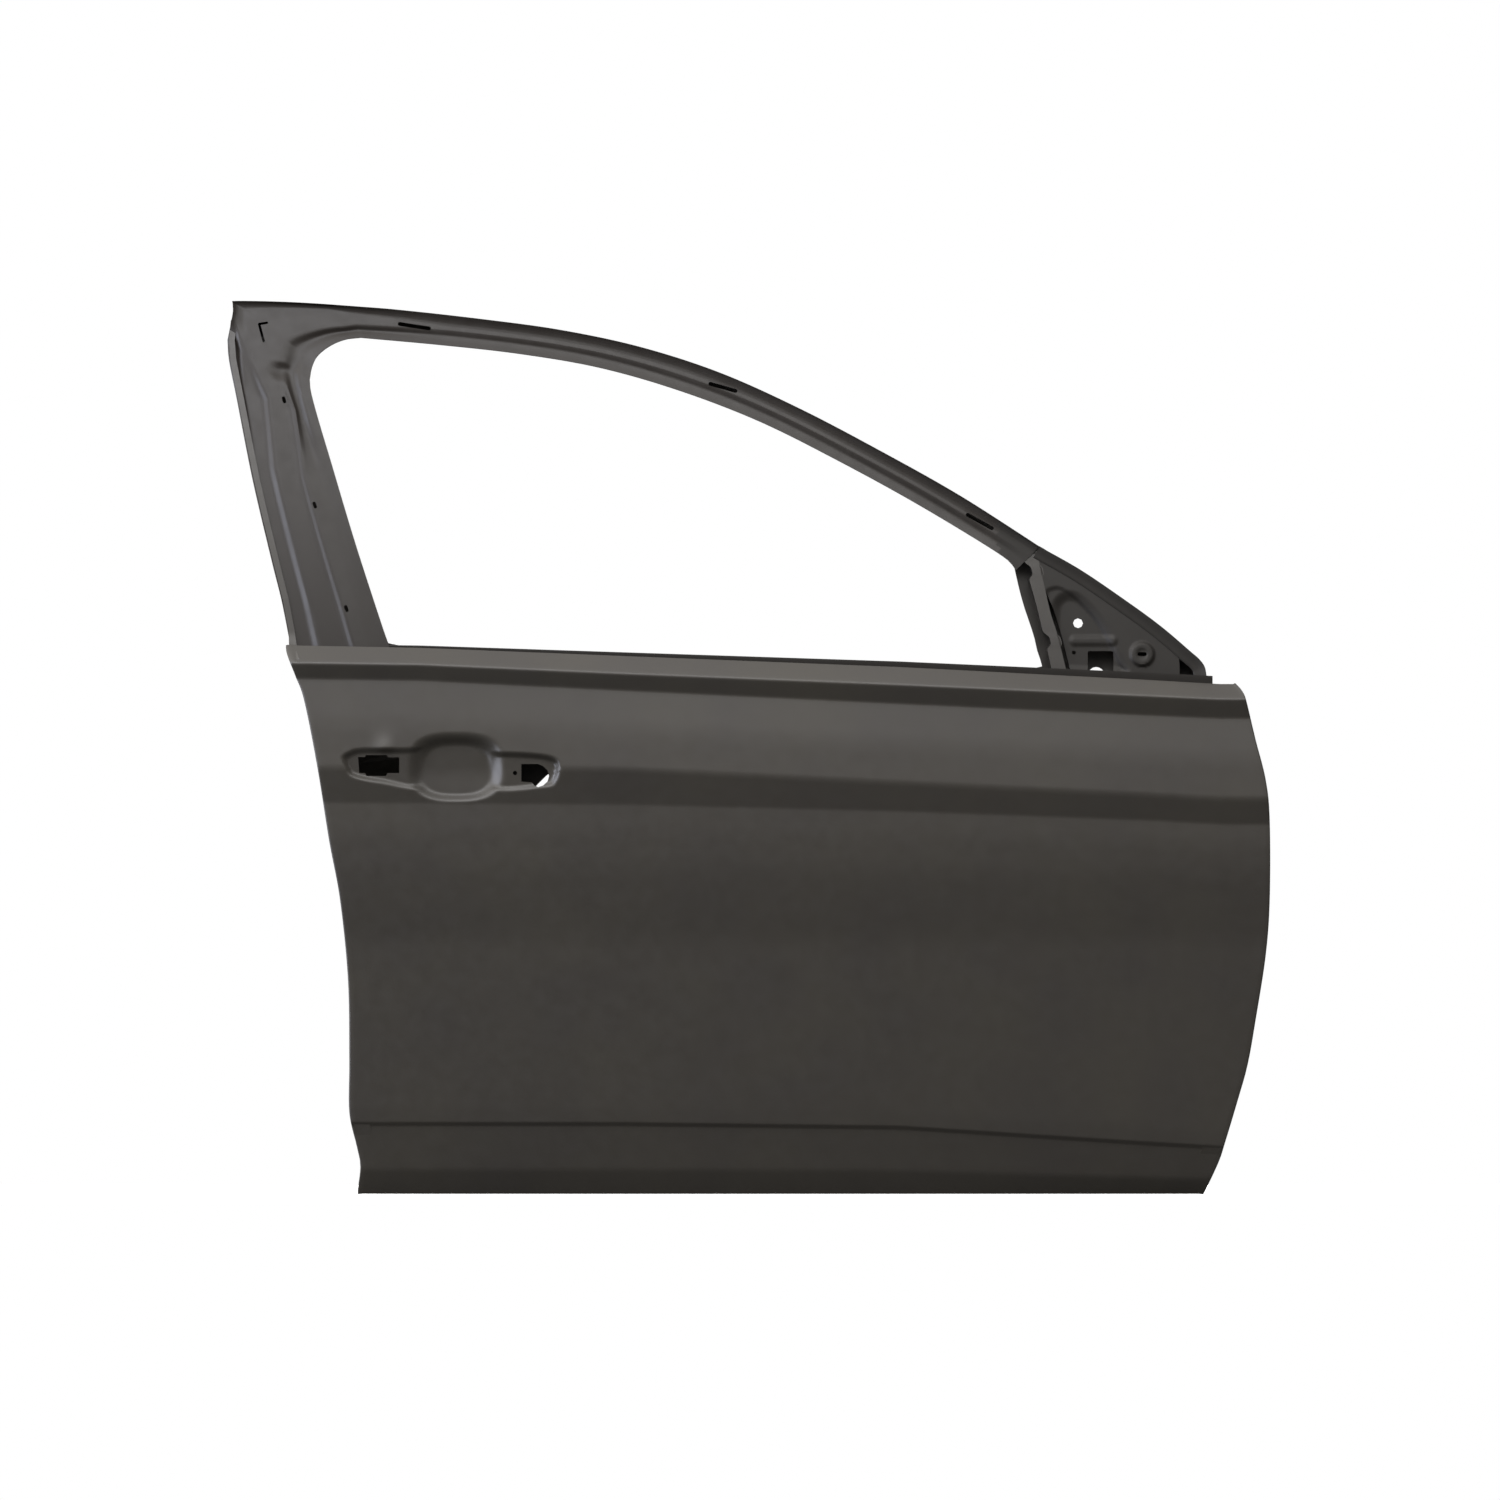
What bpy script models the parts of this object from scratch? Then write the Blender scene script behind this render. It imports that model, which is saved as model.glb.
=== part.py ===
"""Right-hand front door shell of a saloon car, as a bare welded assembly of steel pressings.

Every pressing is drawn in the plan of the door seen from outside (x along the car, forwards; z up),
and each point of the plan is then lifted to its depth (y, inboard positive) by the surface it follows.
Outlines and feature lines are shares of the door's length and height, depths are named sizes.
At the end the whole is moved so that its origin lies where the upper hinge is bolted on.
"""

import math

import bmesh
import bpy
import numpy as np
from mathutils import Vector
from mathutils.geometry import delaunay_2d_cdt

# Overall sizes, in metres
DOOR_LENGTH = 1.226
DOOR_HEIGHT = 1.046
SKIN_SECTION = 0.034
PLAN_CROWN = 0.012
FRAME_SETBACK = 0.046
FRAME_LOW_SLOPE = 0.23
FRAME_HIGH_SLOPE = 0.42
FRAME_DEPTH = 0.036
INNER_FACE_DEPTH = 0.112
SEAL_LAND_STEP = 0.024

# Sheet thicknesses and the gaps between welded sheets
SKIN_SHEET = 0.0008
INNER_SHEET = 0.0008
FRAME_SHEET = 0.001
STIFF_SHEET = 0.0016
HINGE_SHEET = 0.0025
SEAT_GAP = 0.0003
SLOPE_GAP = 0.0005

# Hem that folds the skin round the inner panel's flange
HEM_RETURN = 0.010
HEM_STEPS = 3
HEM_TOP_ROW = 12
HEM_RADIUS = (2.0 * SKIN_SHEET + INNER_SHEET + 2.0 * SLOPE_GAP) / 2.0
FLANGE_INSET = HEM_RADIUS + SLOPE_GAP
BOTTOM_FLANGE = 0.015
WALL_DRAFT = 0.004
SEAL_LAND = 0.016
LAND_STEP_RUN = 0.006
CORNER_STATION_SHARE = 0.35

# Window frame pressings
FRAME_FLANGE = 0.0075
FRAME_LIP = 0.005
FRAME_WALL_DRAFT = 0.0025
FRAME_LAND = 0.002
RUN_CHANNEL_DEPTH = 0.012
RUN_CHANNEL_LIP = 0.0012
PILLAR_RIDGE = 0.003
HEADER_GROOVE = 0.0025
RIDGE_HALF_WIDTH = 0.004
SLOT_WIDTH = 0.0058
SLOT_ROUND_STEPS = 4

# Outer handle recess
CUP_HALF_LENGTH = 0.0576
CUP_HALF_HEIGHT = 0.0418
CUP_DEPTH = 0.022
CUP_POWER = 2.8
CUP_POINTS = 28
WING_DEPTH = 0.003
WING_EDGE = 0.004
HANDLE_SLOT_LENGTH = 0.048
HANDLE_SLOT_HEIGHT = 0.0187
HANDLE_LOCK_LENGTH = 0.0316
HANDLE_LOCK_HEIGHT = 0.0257
HANDLE_SCREW_DIAMETER = 0.0047

# Inner panel openings
SPEAKER_DIAMETER = 0.165
SPEAKER_RIM = 0.012
SPEAKER_EMBOSS = 0.005
APERTURE_RADIUS = 0.030
APERTURE_LIP = 0.006
ACCESS_HOLE_DIAMETER = 0.026
PIERCED_HOLE_DIAMETER = 0.008
HOLE_POINTS = 16
SPEAKER_POINTS = 28

# Mirror corner
MIRROR_RECESS = 0.005
MIRROR_HOLE_DIAMETER = 0.0117
MIRROR_PIN_DIAMETER = 0.0047
MIRROR_WINDOW = 0.0302
MIRROR_BOSS_DIAMETER = 0.030
MIRROR_BOSS_HEIGHT = 0.0035
MIRROR_SLOT_LENGTH = 0.0105
MIRROR_SLOT_HEIGHT = 0.0047
MIRROR_WIRE_HOLE_DIAMETER = 0.019

# Belt line
BELT_LIP_REAR = 0.0025
BELT_LIP_FRONT = 0.009
BELT_OUTER_HEIGHT = 0.052
BELT_STEP = 0.009
BELT_EDGE_DROP = 0.003
BELT_STATIONS = 18
BELT_INNER_HEIGHT = 0.048
BELT_INNER_DROP = 0.009
BELT_RAMP_HEIGHT = 0.065

# Crash beam and its brackets
BEAM_DIAMETER = 0.032
BEAM_WALL = 0.0022
BEAM_CLEARANCE = 0.014
BEAM_SIDES = 20
SADDLE_LENGTH = 0.075
SADDLE_FLANGE = 0.010
SADDLE_STEPS = 8

# Hinge, check link and latch reinforcements
CHECK_SLOT_WIDTH = 0.022
CHECK_SLOT_HEIGHT = 0.026
HINGE_PAD_HEIGHT = 0.084
CHECK_PAD_HEIGHT = 0.044
FIXING_GAP = 0.006
LATCH_PAD_HEIGHT = 0.130
PAD_DEPTH = 0.050
PAD_SETBACK = 0.0064
PAD_RETURN = 0.020
BOLT_HOLE_DIAMETER = 0.011
BOLT_SPACING = 0.050
LATCH_MOUTH_HEIGHT = 0.040
LATCH_MOUTH_DEPTH = 0.030
NUT_ACROSS_FLATS = 0.017
NUT_HEIGHT = 0.010
NUT_SIDES = 6

# Glass guide rails
RAIL_WIDTH = 0.024
RAIL_DEPTH = 0.013
RAIL_LENGTH_SHARE = 0.22
RAIL_FOOT = 0.018
RAIL_STATIONS = 4
RAIL_SEAT_GAP = 0.001

# Damping pads on the inside of the skin
PAD_LENGTH = 0.300
PAD_HEIGHT = 0.075
PAD_THICKNESS = 0.0025
PAD_CORNER = 0.012

# Spacing of the points along sheets and edges
STATION_SPACING = 0.042
FINE_SPACING = 0.020
CUT_OVERRUN = 0.020
MERGE_DISTANCE = 0.00001
SHARP_ANGLE = math.radians(30.0)
OUTBOARD = (0.0, -1.0, 0.0)
INBOARD = (0.0, 1.0, 0.0)

# Stations along the door at which the skin's feature lines are set
SKIN_STATION_SHARES = (0.053, 0.187, 0.378, 0.645, 0.884, 0.950)

# Feature lines of the skin from the bottom up: height at each station, then depth in the section
SKIN_ROW_SHARES = (
    ((0.0, 0.0, 0.0, 0.0, 0.0, 0.0), 0.76),
    ((0.029, 0.029, 0.029, 0.028, 0.020, 0.018), 0.54),
    ((0.078, 0.078, 0.078, 0.074, 0.056, 0.0515), 0.285),
    ((0.096, 0.096, 0.096, 0.0915, 0.0735, 0.069), 0.265),
    ((0.183, 0.183, 0.183, 0.183, 0.178, 0.1745), 0.25),
    ((0.284, 0.284, 0.284, 0.284, 0.284, 0.284), 0.235),
    ((0.320, 0.320, 0.320, 0.320, 0.320, 0.320), 0.15),
    ((0.365, 0.365, 0.365, 0.3625, 0.360, 0.358), 0.075),
    ((0.405, 0.405, 0.4045, 0.400, 0.394, 0.391), 0.11),
    ((0.438, 0.4375, 0.436, 0.4285, 0.4185, 0.414), 0.19),
    ((0.477, 0.4765, 0.4755, 0.460, 0.4465, 0.442), 0.0),
    ((0.526, 0.5245, 0.518, 0.5035, 0.490, 0.4865), 0.25),
    ((0.577, 0.575, 0.564, 0.549, 0.536, 0.5325), 0.62),
    ((0.594, 0.592, 0.582, 0.5695, 0.557, 0.5535), 0.41),
    ((0.614, 0.611, 0.602, 0.5895, 0.575, 0.5705), 1.0),
)

# Edges of the skin, from the top down, as (along, up) shares
REAR_EDGE_SHARES = (
    (0.0592, 0.620), (0.0595, 0.606), (0.0677, 0.5805), (0.0763, 0.5526), (0.0887, 0.480),
    (0.1002, 0.396), (0.1107, 0.329), (0.1183, 0.239), (0.1195, 0.150), (0.1195, 0.092),
    (0.1265, 0.054), (0.1300, 0.031), (0.1269, 0.0),
)
FRONT_EDGE_SHARES = (
    (0.9600, 0.5750), (0.9660, 0.5700), (0.9723, 0.5615), (0.9761, 0.5503), (0.9847, 0.508),
    (0.9943, 0.463), (0.9981, 0.418), (0.9981, 0.329), (0.9943, 0.267), (0.9847, 0.195),
    (0.9771, 0.145), (0.9676, 0.105), (0.9561, 0.060), (0.9494, 0.036), (0.9351, 0.0),
)

# Folds of the inner panel's side walls, drawn straight behind the hinges and the latch
FRONT_WALL_SHARES = (
    (0.9480, 0.600), (0.9580, 0.505), (0.9620, 0.490), (0.9620, 0.400), (0.9560, 0.240),
    (0.9560, 0.140), (0.9420, 0.080), (0.9230, 0.014),
)
REAR_WALL_SHARES = (
    (0.0800, 0.600), (0.1020, 0.500), (0.1220, 0.360), (0.1340, 0.240), (0.1370, 0.090),
    (0.1450, 0.050), (0.1430, 0.014),
)

# Window frame, outer edge from the mirror corner up and round to the pillar's foot
SLOPE_EDGE_SHARES = (
    (0.9380, 0.5800), (0.9362, 0.5900), (0.9310, 0.5985), (0.9237, 0.6060), (0.8931, 0.6365),
    (0.8550, 0.6689), (0.8168, 0.6991), (0.7786, 0.7245),
)
HEADER_EDGE_SHARES = (
    (0.7786, 0.7245), (0.7023, 0.7819), (0.6260, 0.8322), (0.5496, 0.8792), (0.4733, 0.9195),
    (0.3969, 0.9485), (0.3206, 0.9676), (0.2443, 0.9799), (0.1679, 0.9899), (0.0916, 0.9966),
    (0.0220, 1.0),
)
PILLAR_EDGE_SHARES = (
    (0.0040, 0.9780), (0.0022, 0.9560), (0.0038, 0.9330), (0.0115, 0.8881), (0.0267, 0.7987),
    (0.0448, 0.7092), (0.0544, 0.6644), (0.0600, 0.6300),
)

# Window opening, from the front lower corner up and round to the rear lower corner
OPENING_FRONT_SHARES = ((0.7815, 0.5905), (0.7767, 0.6085), (0.7624, 0.6622), (0.7560, 0.6980))
OPENING_TOP_SHARES = (
    (0.7405, 0.7160), (0.6641, 0.7707), (0.5878, 0.8199), (0.5115, 0.8647), (0.4351, 0.8993),
    (0.3588, 0.9251), (0.2824, 0.9407), (0.2061, 0.9508), (0.1298, 0.9590),
)
OPENING_REAR_SHARES = (
    (0.1030, 0.9505), (0.0897, 0.9400), (0.0821, 0.9240), (0.0811, 0.9049), (0.0897, 0.8658),
    (0.1011, 0.8210), (0.1240, 0.7315), (0.1489, 0.6421), (0.1565, 0.6163),
)

# Handle recess, about the cup's centre line; its rings as shares of its size and of its depth
CUP_RING_SHARES = ((1.0, 0.0), (0.90, 0.35), (0.74, 0.80), (0.45, 0.97))
CUP_CENTRE_SHARES = (0.2214, 0.4776)
WING_REAR_SHARES = (
    (0.1800, 0.4970), (0.1679, 0.4989), (0.1317, 0.4989), (0.1160, 0.4930), (0.1126, 0.4880),
    (0.1160, 0.4740), (0.1240, 0.4653), (0.1700, 0.4570), (0.1800, 0.4570),
)
WING_FRONT_SHARES = (
    (0.2640, 0.4933), (0.3063, 0.4933), (0.3170, 0.4880), (0.3206, 0.4780), (0.3168, 0.4609),
    (0.3063, 0.4545), (0.2640, 0.4545),
)
HANDLE_SLOT_SHARES = (0.1475, 0.4799)
HANDLE_LOCK_SHARES = (0.2963, 0.4687)
HANDLE_SCREW_SHARES = (0.2777, 0.4709)

# Inner panel openings, as centres and half sizes in shares
SERVICE_REAR_SHARES = ((0.315, 0.440), (0.115, 0.080))
SERVICE_FRONT_SHARES = ((0.635, 0.410), (0.150, 0.090))
SERVICE_LOWER_SHARES = ((0.380, 0.180), (0.170, 0.075))
SPEAKER_CENTRE_SHARES = (0.800, 0.185)
ACCESS_HOLE_SHARES = ((0.205, 0.300), (0.480, 0.300), (0.620, 0.160), (0.905, 0.360), (0.900, 0.520))
PIERCED_HOLE_SHARES = (
    (0.170, 0.200), (0.172, 0.400), (0.470, 0.530), (0.300, 0.550), (0.640, 0.540), (0.920, 0.240),
    (0.640, 0.075), (0.250, 0.075), (0.450, 0.070), (0.880, 0.080),
)

# Slots pierced in the window frame's outer pressing: one end, then the other
FRAME_SLOT_SHARES = (
    ((0.1670, 0.9742), (0.1905, 0.9695)), ((0.4640, 0.9070), (0.4860, 0.9000)),
    ((0.7100, 0.7600), (0.7310, 0.7460)), ((0.0340, 0.9745), (0.0385, 0.9560)),
    ((0.0563, 0.8890), (0.0563, 0.8860)), ((0.0859, 0.7710), (0.0859, 0.7700)),
    ((0.1164, 0.6550), (0.1164, 0.6540)),
)

# Pressed lines of the window frame: ridges of the pillar and the groove of the header
RIDGE_REAR_SHARES = ((0.0363, 0.8830), (0.0449, 0.8130), (0.0650, 0.7100), (0.0840, 0.6330))
RIDGE_FRONT_SHARES = ((0.0649, 0.8367), (0.0840, 0.7600), (0.1010, 0.7000), (0.1170, 0.6330))
GROOVE_SHARES = (
    (0.7250, 0.7420), (0.6641, 0.7850), (0.5878, 0.8340), (0.5115, 0.8770), (0.4351, 0.9120),
    (0.3588, 0.9370), (0.2824, 0.9530), (0.2004, 0.9653), (0.1250, 0.9709), (0.0849, 0.9575),
    (0.0582, 0.9362), (0.0458, 0.9206),
)

# Mirror corner: plate outline, recess and the places of its holes
MIRROR_PLATE_SHARES = (
    (0.8040, 0.5840), (0.7890, 0.6600), (0.7850, 0.7080), (0.8130, 0.6900), (0.8510, 0.6590),
    (0.8880, 0.6280), (0.9120, 0.6060), (0.9140, 0.5810),
)
MIRROR_RECESS_SHARES = (
    (0.8090, 0.5900), (0.7900, 0.6690), (0.8020, 0.6790), (0.8160, 0.6700), (0.8330, 0.6480),
    (0.8460, 0.6230), (0.8560, 0.5880),
)
MIRROR_HOLE_SHARES = (0.8154, 0.6387)
MIRROR_PIN_SHARES = (0.8113, 0.6057)
MIRROR_WINDOW_SHARES = (0.8368, 0.5950)
MIRROR_BOSS_SHARES = (0.8765, 0.6040)
SASH_SHARES = (
    ((0.7600, 0.7105), (0.7770, 0.7120)), ((0.7630, 0.6900), (0.7815, 0.6980)),
    ((0.7740, 0.6600), (0.7850, 0.6600)), ((0.7800, 0.6300), (0.7925, 0.6300)),
    ((0.7850, 0.6050), (0.7985, 0.6050)), ((0.7860, 0.5880), (0.8010, 0.5880)),
)
SASH_SETBACK = 0.002

# Crash beam's axis and the places of the hinge, check link and latch fixings
BEAM_REAR_SHARES = (0.165, 0.255)
BEAM_FRONT_SHARE = 0.935
HINGE_UPPER_SHARE = 0.445
HINGE_LOWER_SHARE = 0.190
LATCH_SHARE = 0.365
RAIL_REAR_SHARES = (0.185, 0.575)
RAIL_FRONT_SHARES = (0.815, 0.545)
DAMPING_PAD_SHARES = ((0.330, 0.340), (0.660, 0.350))
RAIL_SETBACK_SHARE = 0.62

# Where the inner panel's flange leaves the skin for the window frame: flange edge, then fold
BELT_FRONT_OUTER_SHARES = ((0.9560, 0.5620), (0.9450, 0.5570))
BELT_FRONT_INNER_SHARES = ((0.9390, 0.5690), (0.9310, 0.5640))
BELT_REAR_SHARES = ((0.0618, 0.6110), (0.0700, 0.6060))
FRAME_START = 1
LEVEL_STEPS = 6
BELT_OUTER_ENDS_SHARES = (0.1575, 0.930)
BELT_INNER_ENDS_SHARES = (0.215, 0.775)
BELT_BEAD_SHARES = ((0.0, 0.0), (0.25, 0.0), (0.35, 1.0), (0.65, 1.0), (0.75, 0.0), (1.0, 0.0))
HANDLE_PLATE_ENDS_SHARES = (0.1135, 0.340)
HANDLE_PLATE_HEIGHTS_SHARES = (0.4240, 0.5330)
HANDLE_PLATE_CUT_HEIGHTS_SHARES = (0.4330, 0.5215)
HANDLE_PLATE_CUT_END_SHARE = 0.328

# Finishes: colour, roughness and metallic value
PRIMER = ((0.050, 0.045, 0.041), 0.42, 0.0)
PRIMER_LIGHT = ((0.062, 0.057, 0.053), 0.45, 0.0)
WELD_NUT_STEEL = ((0.22, 0.21, 0.20), 0.40, 0.9)
MASTIC = ((0.030, 0.030, 0.030), 0.85, 0.0)

PART_NAME = "car_door_shell"


def clear_scene():
    """Remove what a new file holds, without closing the file."""
    for item in list(bpy.data.objects):
        bpy.data.objects.remove(item, do_unlink=True)


def make_collection(name):
    collection = bpy.data.collections.new(name)
    bpy.context.scene.collection.children.link(collection)
    return collection


def make_material(name, finish):
    colour, roughness, metallic = finish
    material = bpy.data.materials.new(name)
    material.use_nodes = True
    shader = material.node_tree.nodes["Principled BSDF"]
    shader.inputs["Base Color"].default_value = (*colour, 1.0)
    shader.inputs["Roughness"].default_value = roughness
    shader.inputs["Metallic"].default_value = metallic
    return material


# Plan points and curves


def at(share):
    """Plan point of a share of the door's length and height."""
    return np.array((share[0] * DOOR_LENGTH, share[1] * DOOR_HEIGHT))


def points_of(shares):
    return [at(share) for share in shares]


def smooth_curve(points, spacing):
    """Points along a smooth curve through the given ones, which it keeps."""
    points = [np.array(point) for point in points]
    padded = [2.0 * points[0] - points[1]] + points + [2.0 * points[-1] - points[-2]]
    curve = []
    for before, start, end, after in zip(padded, padded[1:], padded[2:], padded[3:]):
        steps = max(1, int(round(np.linalg.norm(end - start) / spacing)))
        for step in range(steps):
            t = step / steps
            curve.append(0.5 * (2.0 * start + (end - before) * t
                                + (2.0 * before - 5.0 * start + 4.0 * end - after) * t ** 2
                                + (3.0 * start - before - 3.0 * end + after) * t ** 3))
    curve.append(points[-1])
    return curve


def straight_run(start, end, spacing):
    """Evenly spaced points from start to end."""
    steps = max(1, int(round(np.linalg.norm(np.subtract(end, start)) / spacing)))
    return [np.array(start) + (np.array(end) - np.array(start)) * step / steps for step in range(steps + 1)]


def arc(centre, radius, start_degrees, end_degrees, steps):
    angles = np.radians(np.linspace(start_degrees, end_degrees, steps + 1))
    return [np.array(centre) + radius * np.array((math.cos(angle), math.sin(angle))) for angle in angles]


def circle(centre, diameter, count):
    return arc(centre, diameter / 2.0, 0.0, 360.0, count)[:-1]


def round_slot(start, end, width):
    """Outline of a slot with round ends."""
    run = np.subtract(end, start)
    turn = math.degrees(math.atan2(run[1], run[0]))
    front = arc(end, width / 2.0, turn - 90.0, turn + 90.0, SLOT_ROUND_STEPS)
    back = arc(start, width / 2.0, turn + 90.0, turn + 270.0, SLOT_ROUND_STEPS)
    return front + back


def round_box(centre, half_length, half_height, radius):
    """Outline of a rectangle with round corners."""
    outline = []
    for turn, (side, rise) in enumerate(((1, -1), (1, 1), (-1, 1), (-1, -1))):
        corner = np.array(centre) + (side * (half_length - radius), rise * (half_height - radius))
        outline += arc(corner, radius, turn * 90.0 - 90.0, turn * 90.0, SLOT_ROUND_STEPS)
    return outline


def super_ellipse(centre, half_length, half_height, power, count):
    outline = []
    for step in range(count):
        angle = 2.0 * math.pi * step / count
        across, up = math.cos(angle), math.sin(angle)
        outline.append(np.array(centre) + (half_length * math.copysign(abs(across) ** (2.0 / power), across),
                                           half_height * math.copysign(abs(up) ** (2.0 / power), up)))
    return outline


def inward_normals(points, closed):
    """Unit normals to the left of the way along the points, sharpened at corners so offsets stay even."""
    normals = []
    count = len(points)
    for index, point in enumerate(points):
        before = points[index - 1] if closed or index else point
        after = points[(index + 1) % count] if closed or index < count - 1 else point
        sides = [side for side in (point - before, after - point) if np.linalg.norm(side) > 0.0]
        lefts = [np.array((-side[1], side[0])) / np.linalg.norm(side) for side in sides]
        mean = sum(lefts) / len(lefts)
        normals.append(mean / max(np.dot(mean, mean), 0.5))
    return normals


def offset_points(points, distances, closed=False):
    """Points moved to the left of the way along them, by one distance or one for each."""
    distances = np.broadcast_to(distances, len(points))
    return [point + normal * distance
            for point, normal, distance in zip(points, inward_normals(points, closed), distances)]


def inside(point, outline):
    """Whether a plan point lies inside a closed outline."""
    crossings = False
    for start, end in zip(outline, outline[1:] + outline[:1]):
        if (start[1] > point[1]) != (end[1] > point[1]):
            meet = start[0] + (point[1] - start[1]) * (end[0] - start[0]) / (end[1] - start[1])
            crossings ^= point[0] < meet
    return crossings


# Surfaces: depth at a plan point


def skin_rows(x):
    """Heights and depths of the skin's feature lines at a place along the door."""
    along = x / DOOR_LENGTH
    heights = [np.interp(along, SKIN_STATION_SHARES, row) * DOOR_HEIGHT for row, _ in SKIN_ROW_SHARES]
    depths = [depth * SKIN_SECTION for _, depth in SKIN_ROW_SHARES]
    return np.array(heights), np.array(depths)


def plan_crown(x):
    return PLAN_CROWN * (2.0 * x / DOOR_LENGTH - 1.0) ** 2


def skin_depth(x, z):
    heights, depths = skin_rows(x)
    return float(np.interp(z, heights, depths)) + plan_crown(x)


def belt_height(x):
    return skin_rows(x)[0][-1]


def skin_slope(x, z):
    """Steepest run of the skin just above or below a point."""
    heights, depths = skin_rows(x)
    slopes = np.abs(np.diff(depths) / np.diff(heights))
    near = [slope for slope, low, high in zip(slopes, heights, heights[1:])
            if low - SLOPE_GAP <= z <= high + SLOPE_GAP]
    return max(near) if near else slopes[-1]


def behind_skin(x, z, clearance):
    """Depth of a sheet that lies against the inside of the skin, square to it."""
    return skin_depth(x, z) + (SKIN_SHEET + clearance) * math.hypot(1.0, skin_slope(x, z))


def frame_depth(x, z):
    """Depth of the window frame's outer face, which leans inboard as it rises."""
    rise = z - belt_height(x)
    top = DOOR_HEIGHT - belt_height(x)
    lean = FRAME_LOW_SLOPE * rise + (FRAME_HIGH_SLOPE - FRAME_LOW_SLOPE) * max(rise, 0.0) ** 2 / (2.0 * top)
    return FRAME_SETBACK + plan_crown(x) + lean


def inner_depth(x, z):
    """Depth of the inner panel's main face: flat in the body, following the frame above the belt."""
    in_frame = frame_depth(x, z) + FRAME_DEPTH
    share = min(1.0, max(0.0, (belt_height(x) - z) / BELT_RAMP_HEIGHT))
    return in_frame + (INNER_FACE_DEPTH - in_frame) * share


def edge_place(edge_shares, z):
    """Place along the door of an edge that is given from the top down."""
    heights = [share[1] * DOOR_HEIGHT for share in reversed(edge_shares)]
    places = [share[0] * DOOR_LENGTH for share in reversed(edge_shares)]
    return float(np.interp(z, heights, places))


def level_height(level, x):
    """Height of a feature line of the skin, or of a share of the way between two."""
    heights = skin_rows(x)[0]
    return float(np.interp(level, range(len(heights)), heights))


def level_point(level, edge_shares, shift=0.0):
    """Where a level of the skin crosses an edge, shifted along the door."""
    x = at(edge_shares[len(edge_shares) // 2])[0]
    for _ in range(LEVEL_STEPS):
        x = edge_place(edge_shares, level_height(level, x)) + shift
    return np.array((x, level_height(level, x)))


def side_levels():
    """Levels at which the door's upright edges have points: the feature lines, and between far ones."""
    heights = skin_rows(0.0)[0]
    levels = []
    for row in range(1, len(heights) - 1):
        levels.append(float(row))
        steps = int(round((heights[row + 1] - heights[row]) / (2.0 * FINE_SPACING)))
        levels += [row + step / steps for step in range(1, steps)]
    return levels


def fold_place(wall_shares, z):
    """Place of a side wall's fold at a height, straight between the levels."""
    points = [level_point(level, wall_shares) for level in side_levels()]
    return float(np.interp(z, [point[1] for point in points], [point[0] for point in points]))


# Mesh building


def pressed_sheet(outline, holes, lines, depth):
    """Triangulate a sheet's plan between its outline, holes and pressed lines, and lift it to its depth.

    Lines are (points, closed, extra depth) and depth is a function of the plan point.
    """
    points, edges, extras = [], [], []
    for chain, closed, extra in [(outline, True, 0.0)] + [(hole, True, 0.0) for hole in holes] + lines:
        first = len(points)
        points += [Vector((float(point[0]), float(point[1]))) for point in chain]
        extras += [extra] * len(chain)
        edges += [(first + step, first + step + 1) for step in range(len(chain) - 1)]
        if closed:
            edges.append((first + len(chain) - 1, first))
    flat, _, triangles, sources, _, _ = delaunay_2d_cdt(points, edges, [], 1, MERGE_DISTANCE)
    mesh = bmesh.new()
    vertices = []
    for place, source in zip(flat, sources):
        extra = max((extras[index] for index in source), key=abs, default=0.0)
        vertices.append(mesh.verts.new((place.x, depth(place.x, place.y) + extra, place.y)))
    for triangle in triangles:
        middle = sum((flat[index] for index in triangle), Vector((0.0, 0.0))) / len(triangle)
        if inside(middle, outline) and not any(inside(middle, hole) for hole in holes):
            mesh.faces.new([vertices[index] for index in triangle])
    loose = [vertex for vertex in mesh.verts if not vertex.link_faces]
    bmesh.ops.delete(mesh, geom=loose, context="VERTS")
    return mesh


def edge_chain(mesh, is_wanted):
    """Vertices along the open edge that satisfy a test, in order."""
    edges = [edge for edge in mesh.edges if edge.is_boundary and all(is_wanted(v.co) for v in edge.verts)]
    links = {}
    for edge in edges:
        for vertex in edge.verts:
            links.setdefault(vertex, []).append(edge.other_vert(vertex))
    ends = [vertex for vertex, others in links.items() if len(others) == 1]
    chain = [min(ends or links, key=lambda vertex: (vertex.co.x, vertex.co.z))]
    seen = set(chain)
    while True:
        onward = [vertex for vertex in links[chain[-1]] if vertex not in seen]
        if not onward:
            return chain, not ends
        chain.append(onward[0])
        seen.add(onward[0])


def loft(mesh, rings, closed):
    """Join rings of vertices with quads."""
    for ring, next_ring in zip(rings, rings[1:]):
        count = len(ring) if closed else len(ring) - 1
        for step in range(count):
            after = (step + 1) % len(ring)
            corners = [ring[step], ring[after], next_ring[after], next_ring[step]]
            if len(set(corners)) == len(corners):
                mesh.faces.new(corners)


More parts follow.
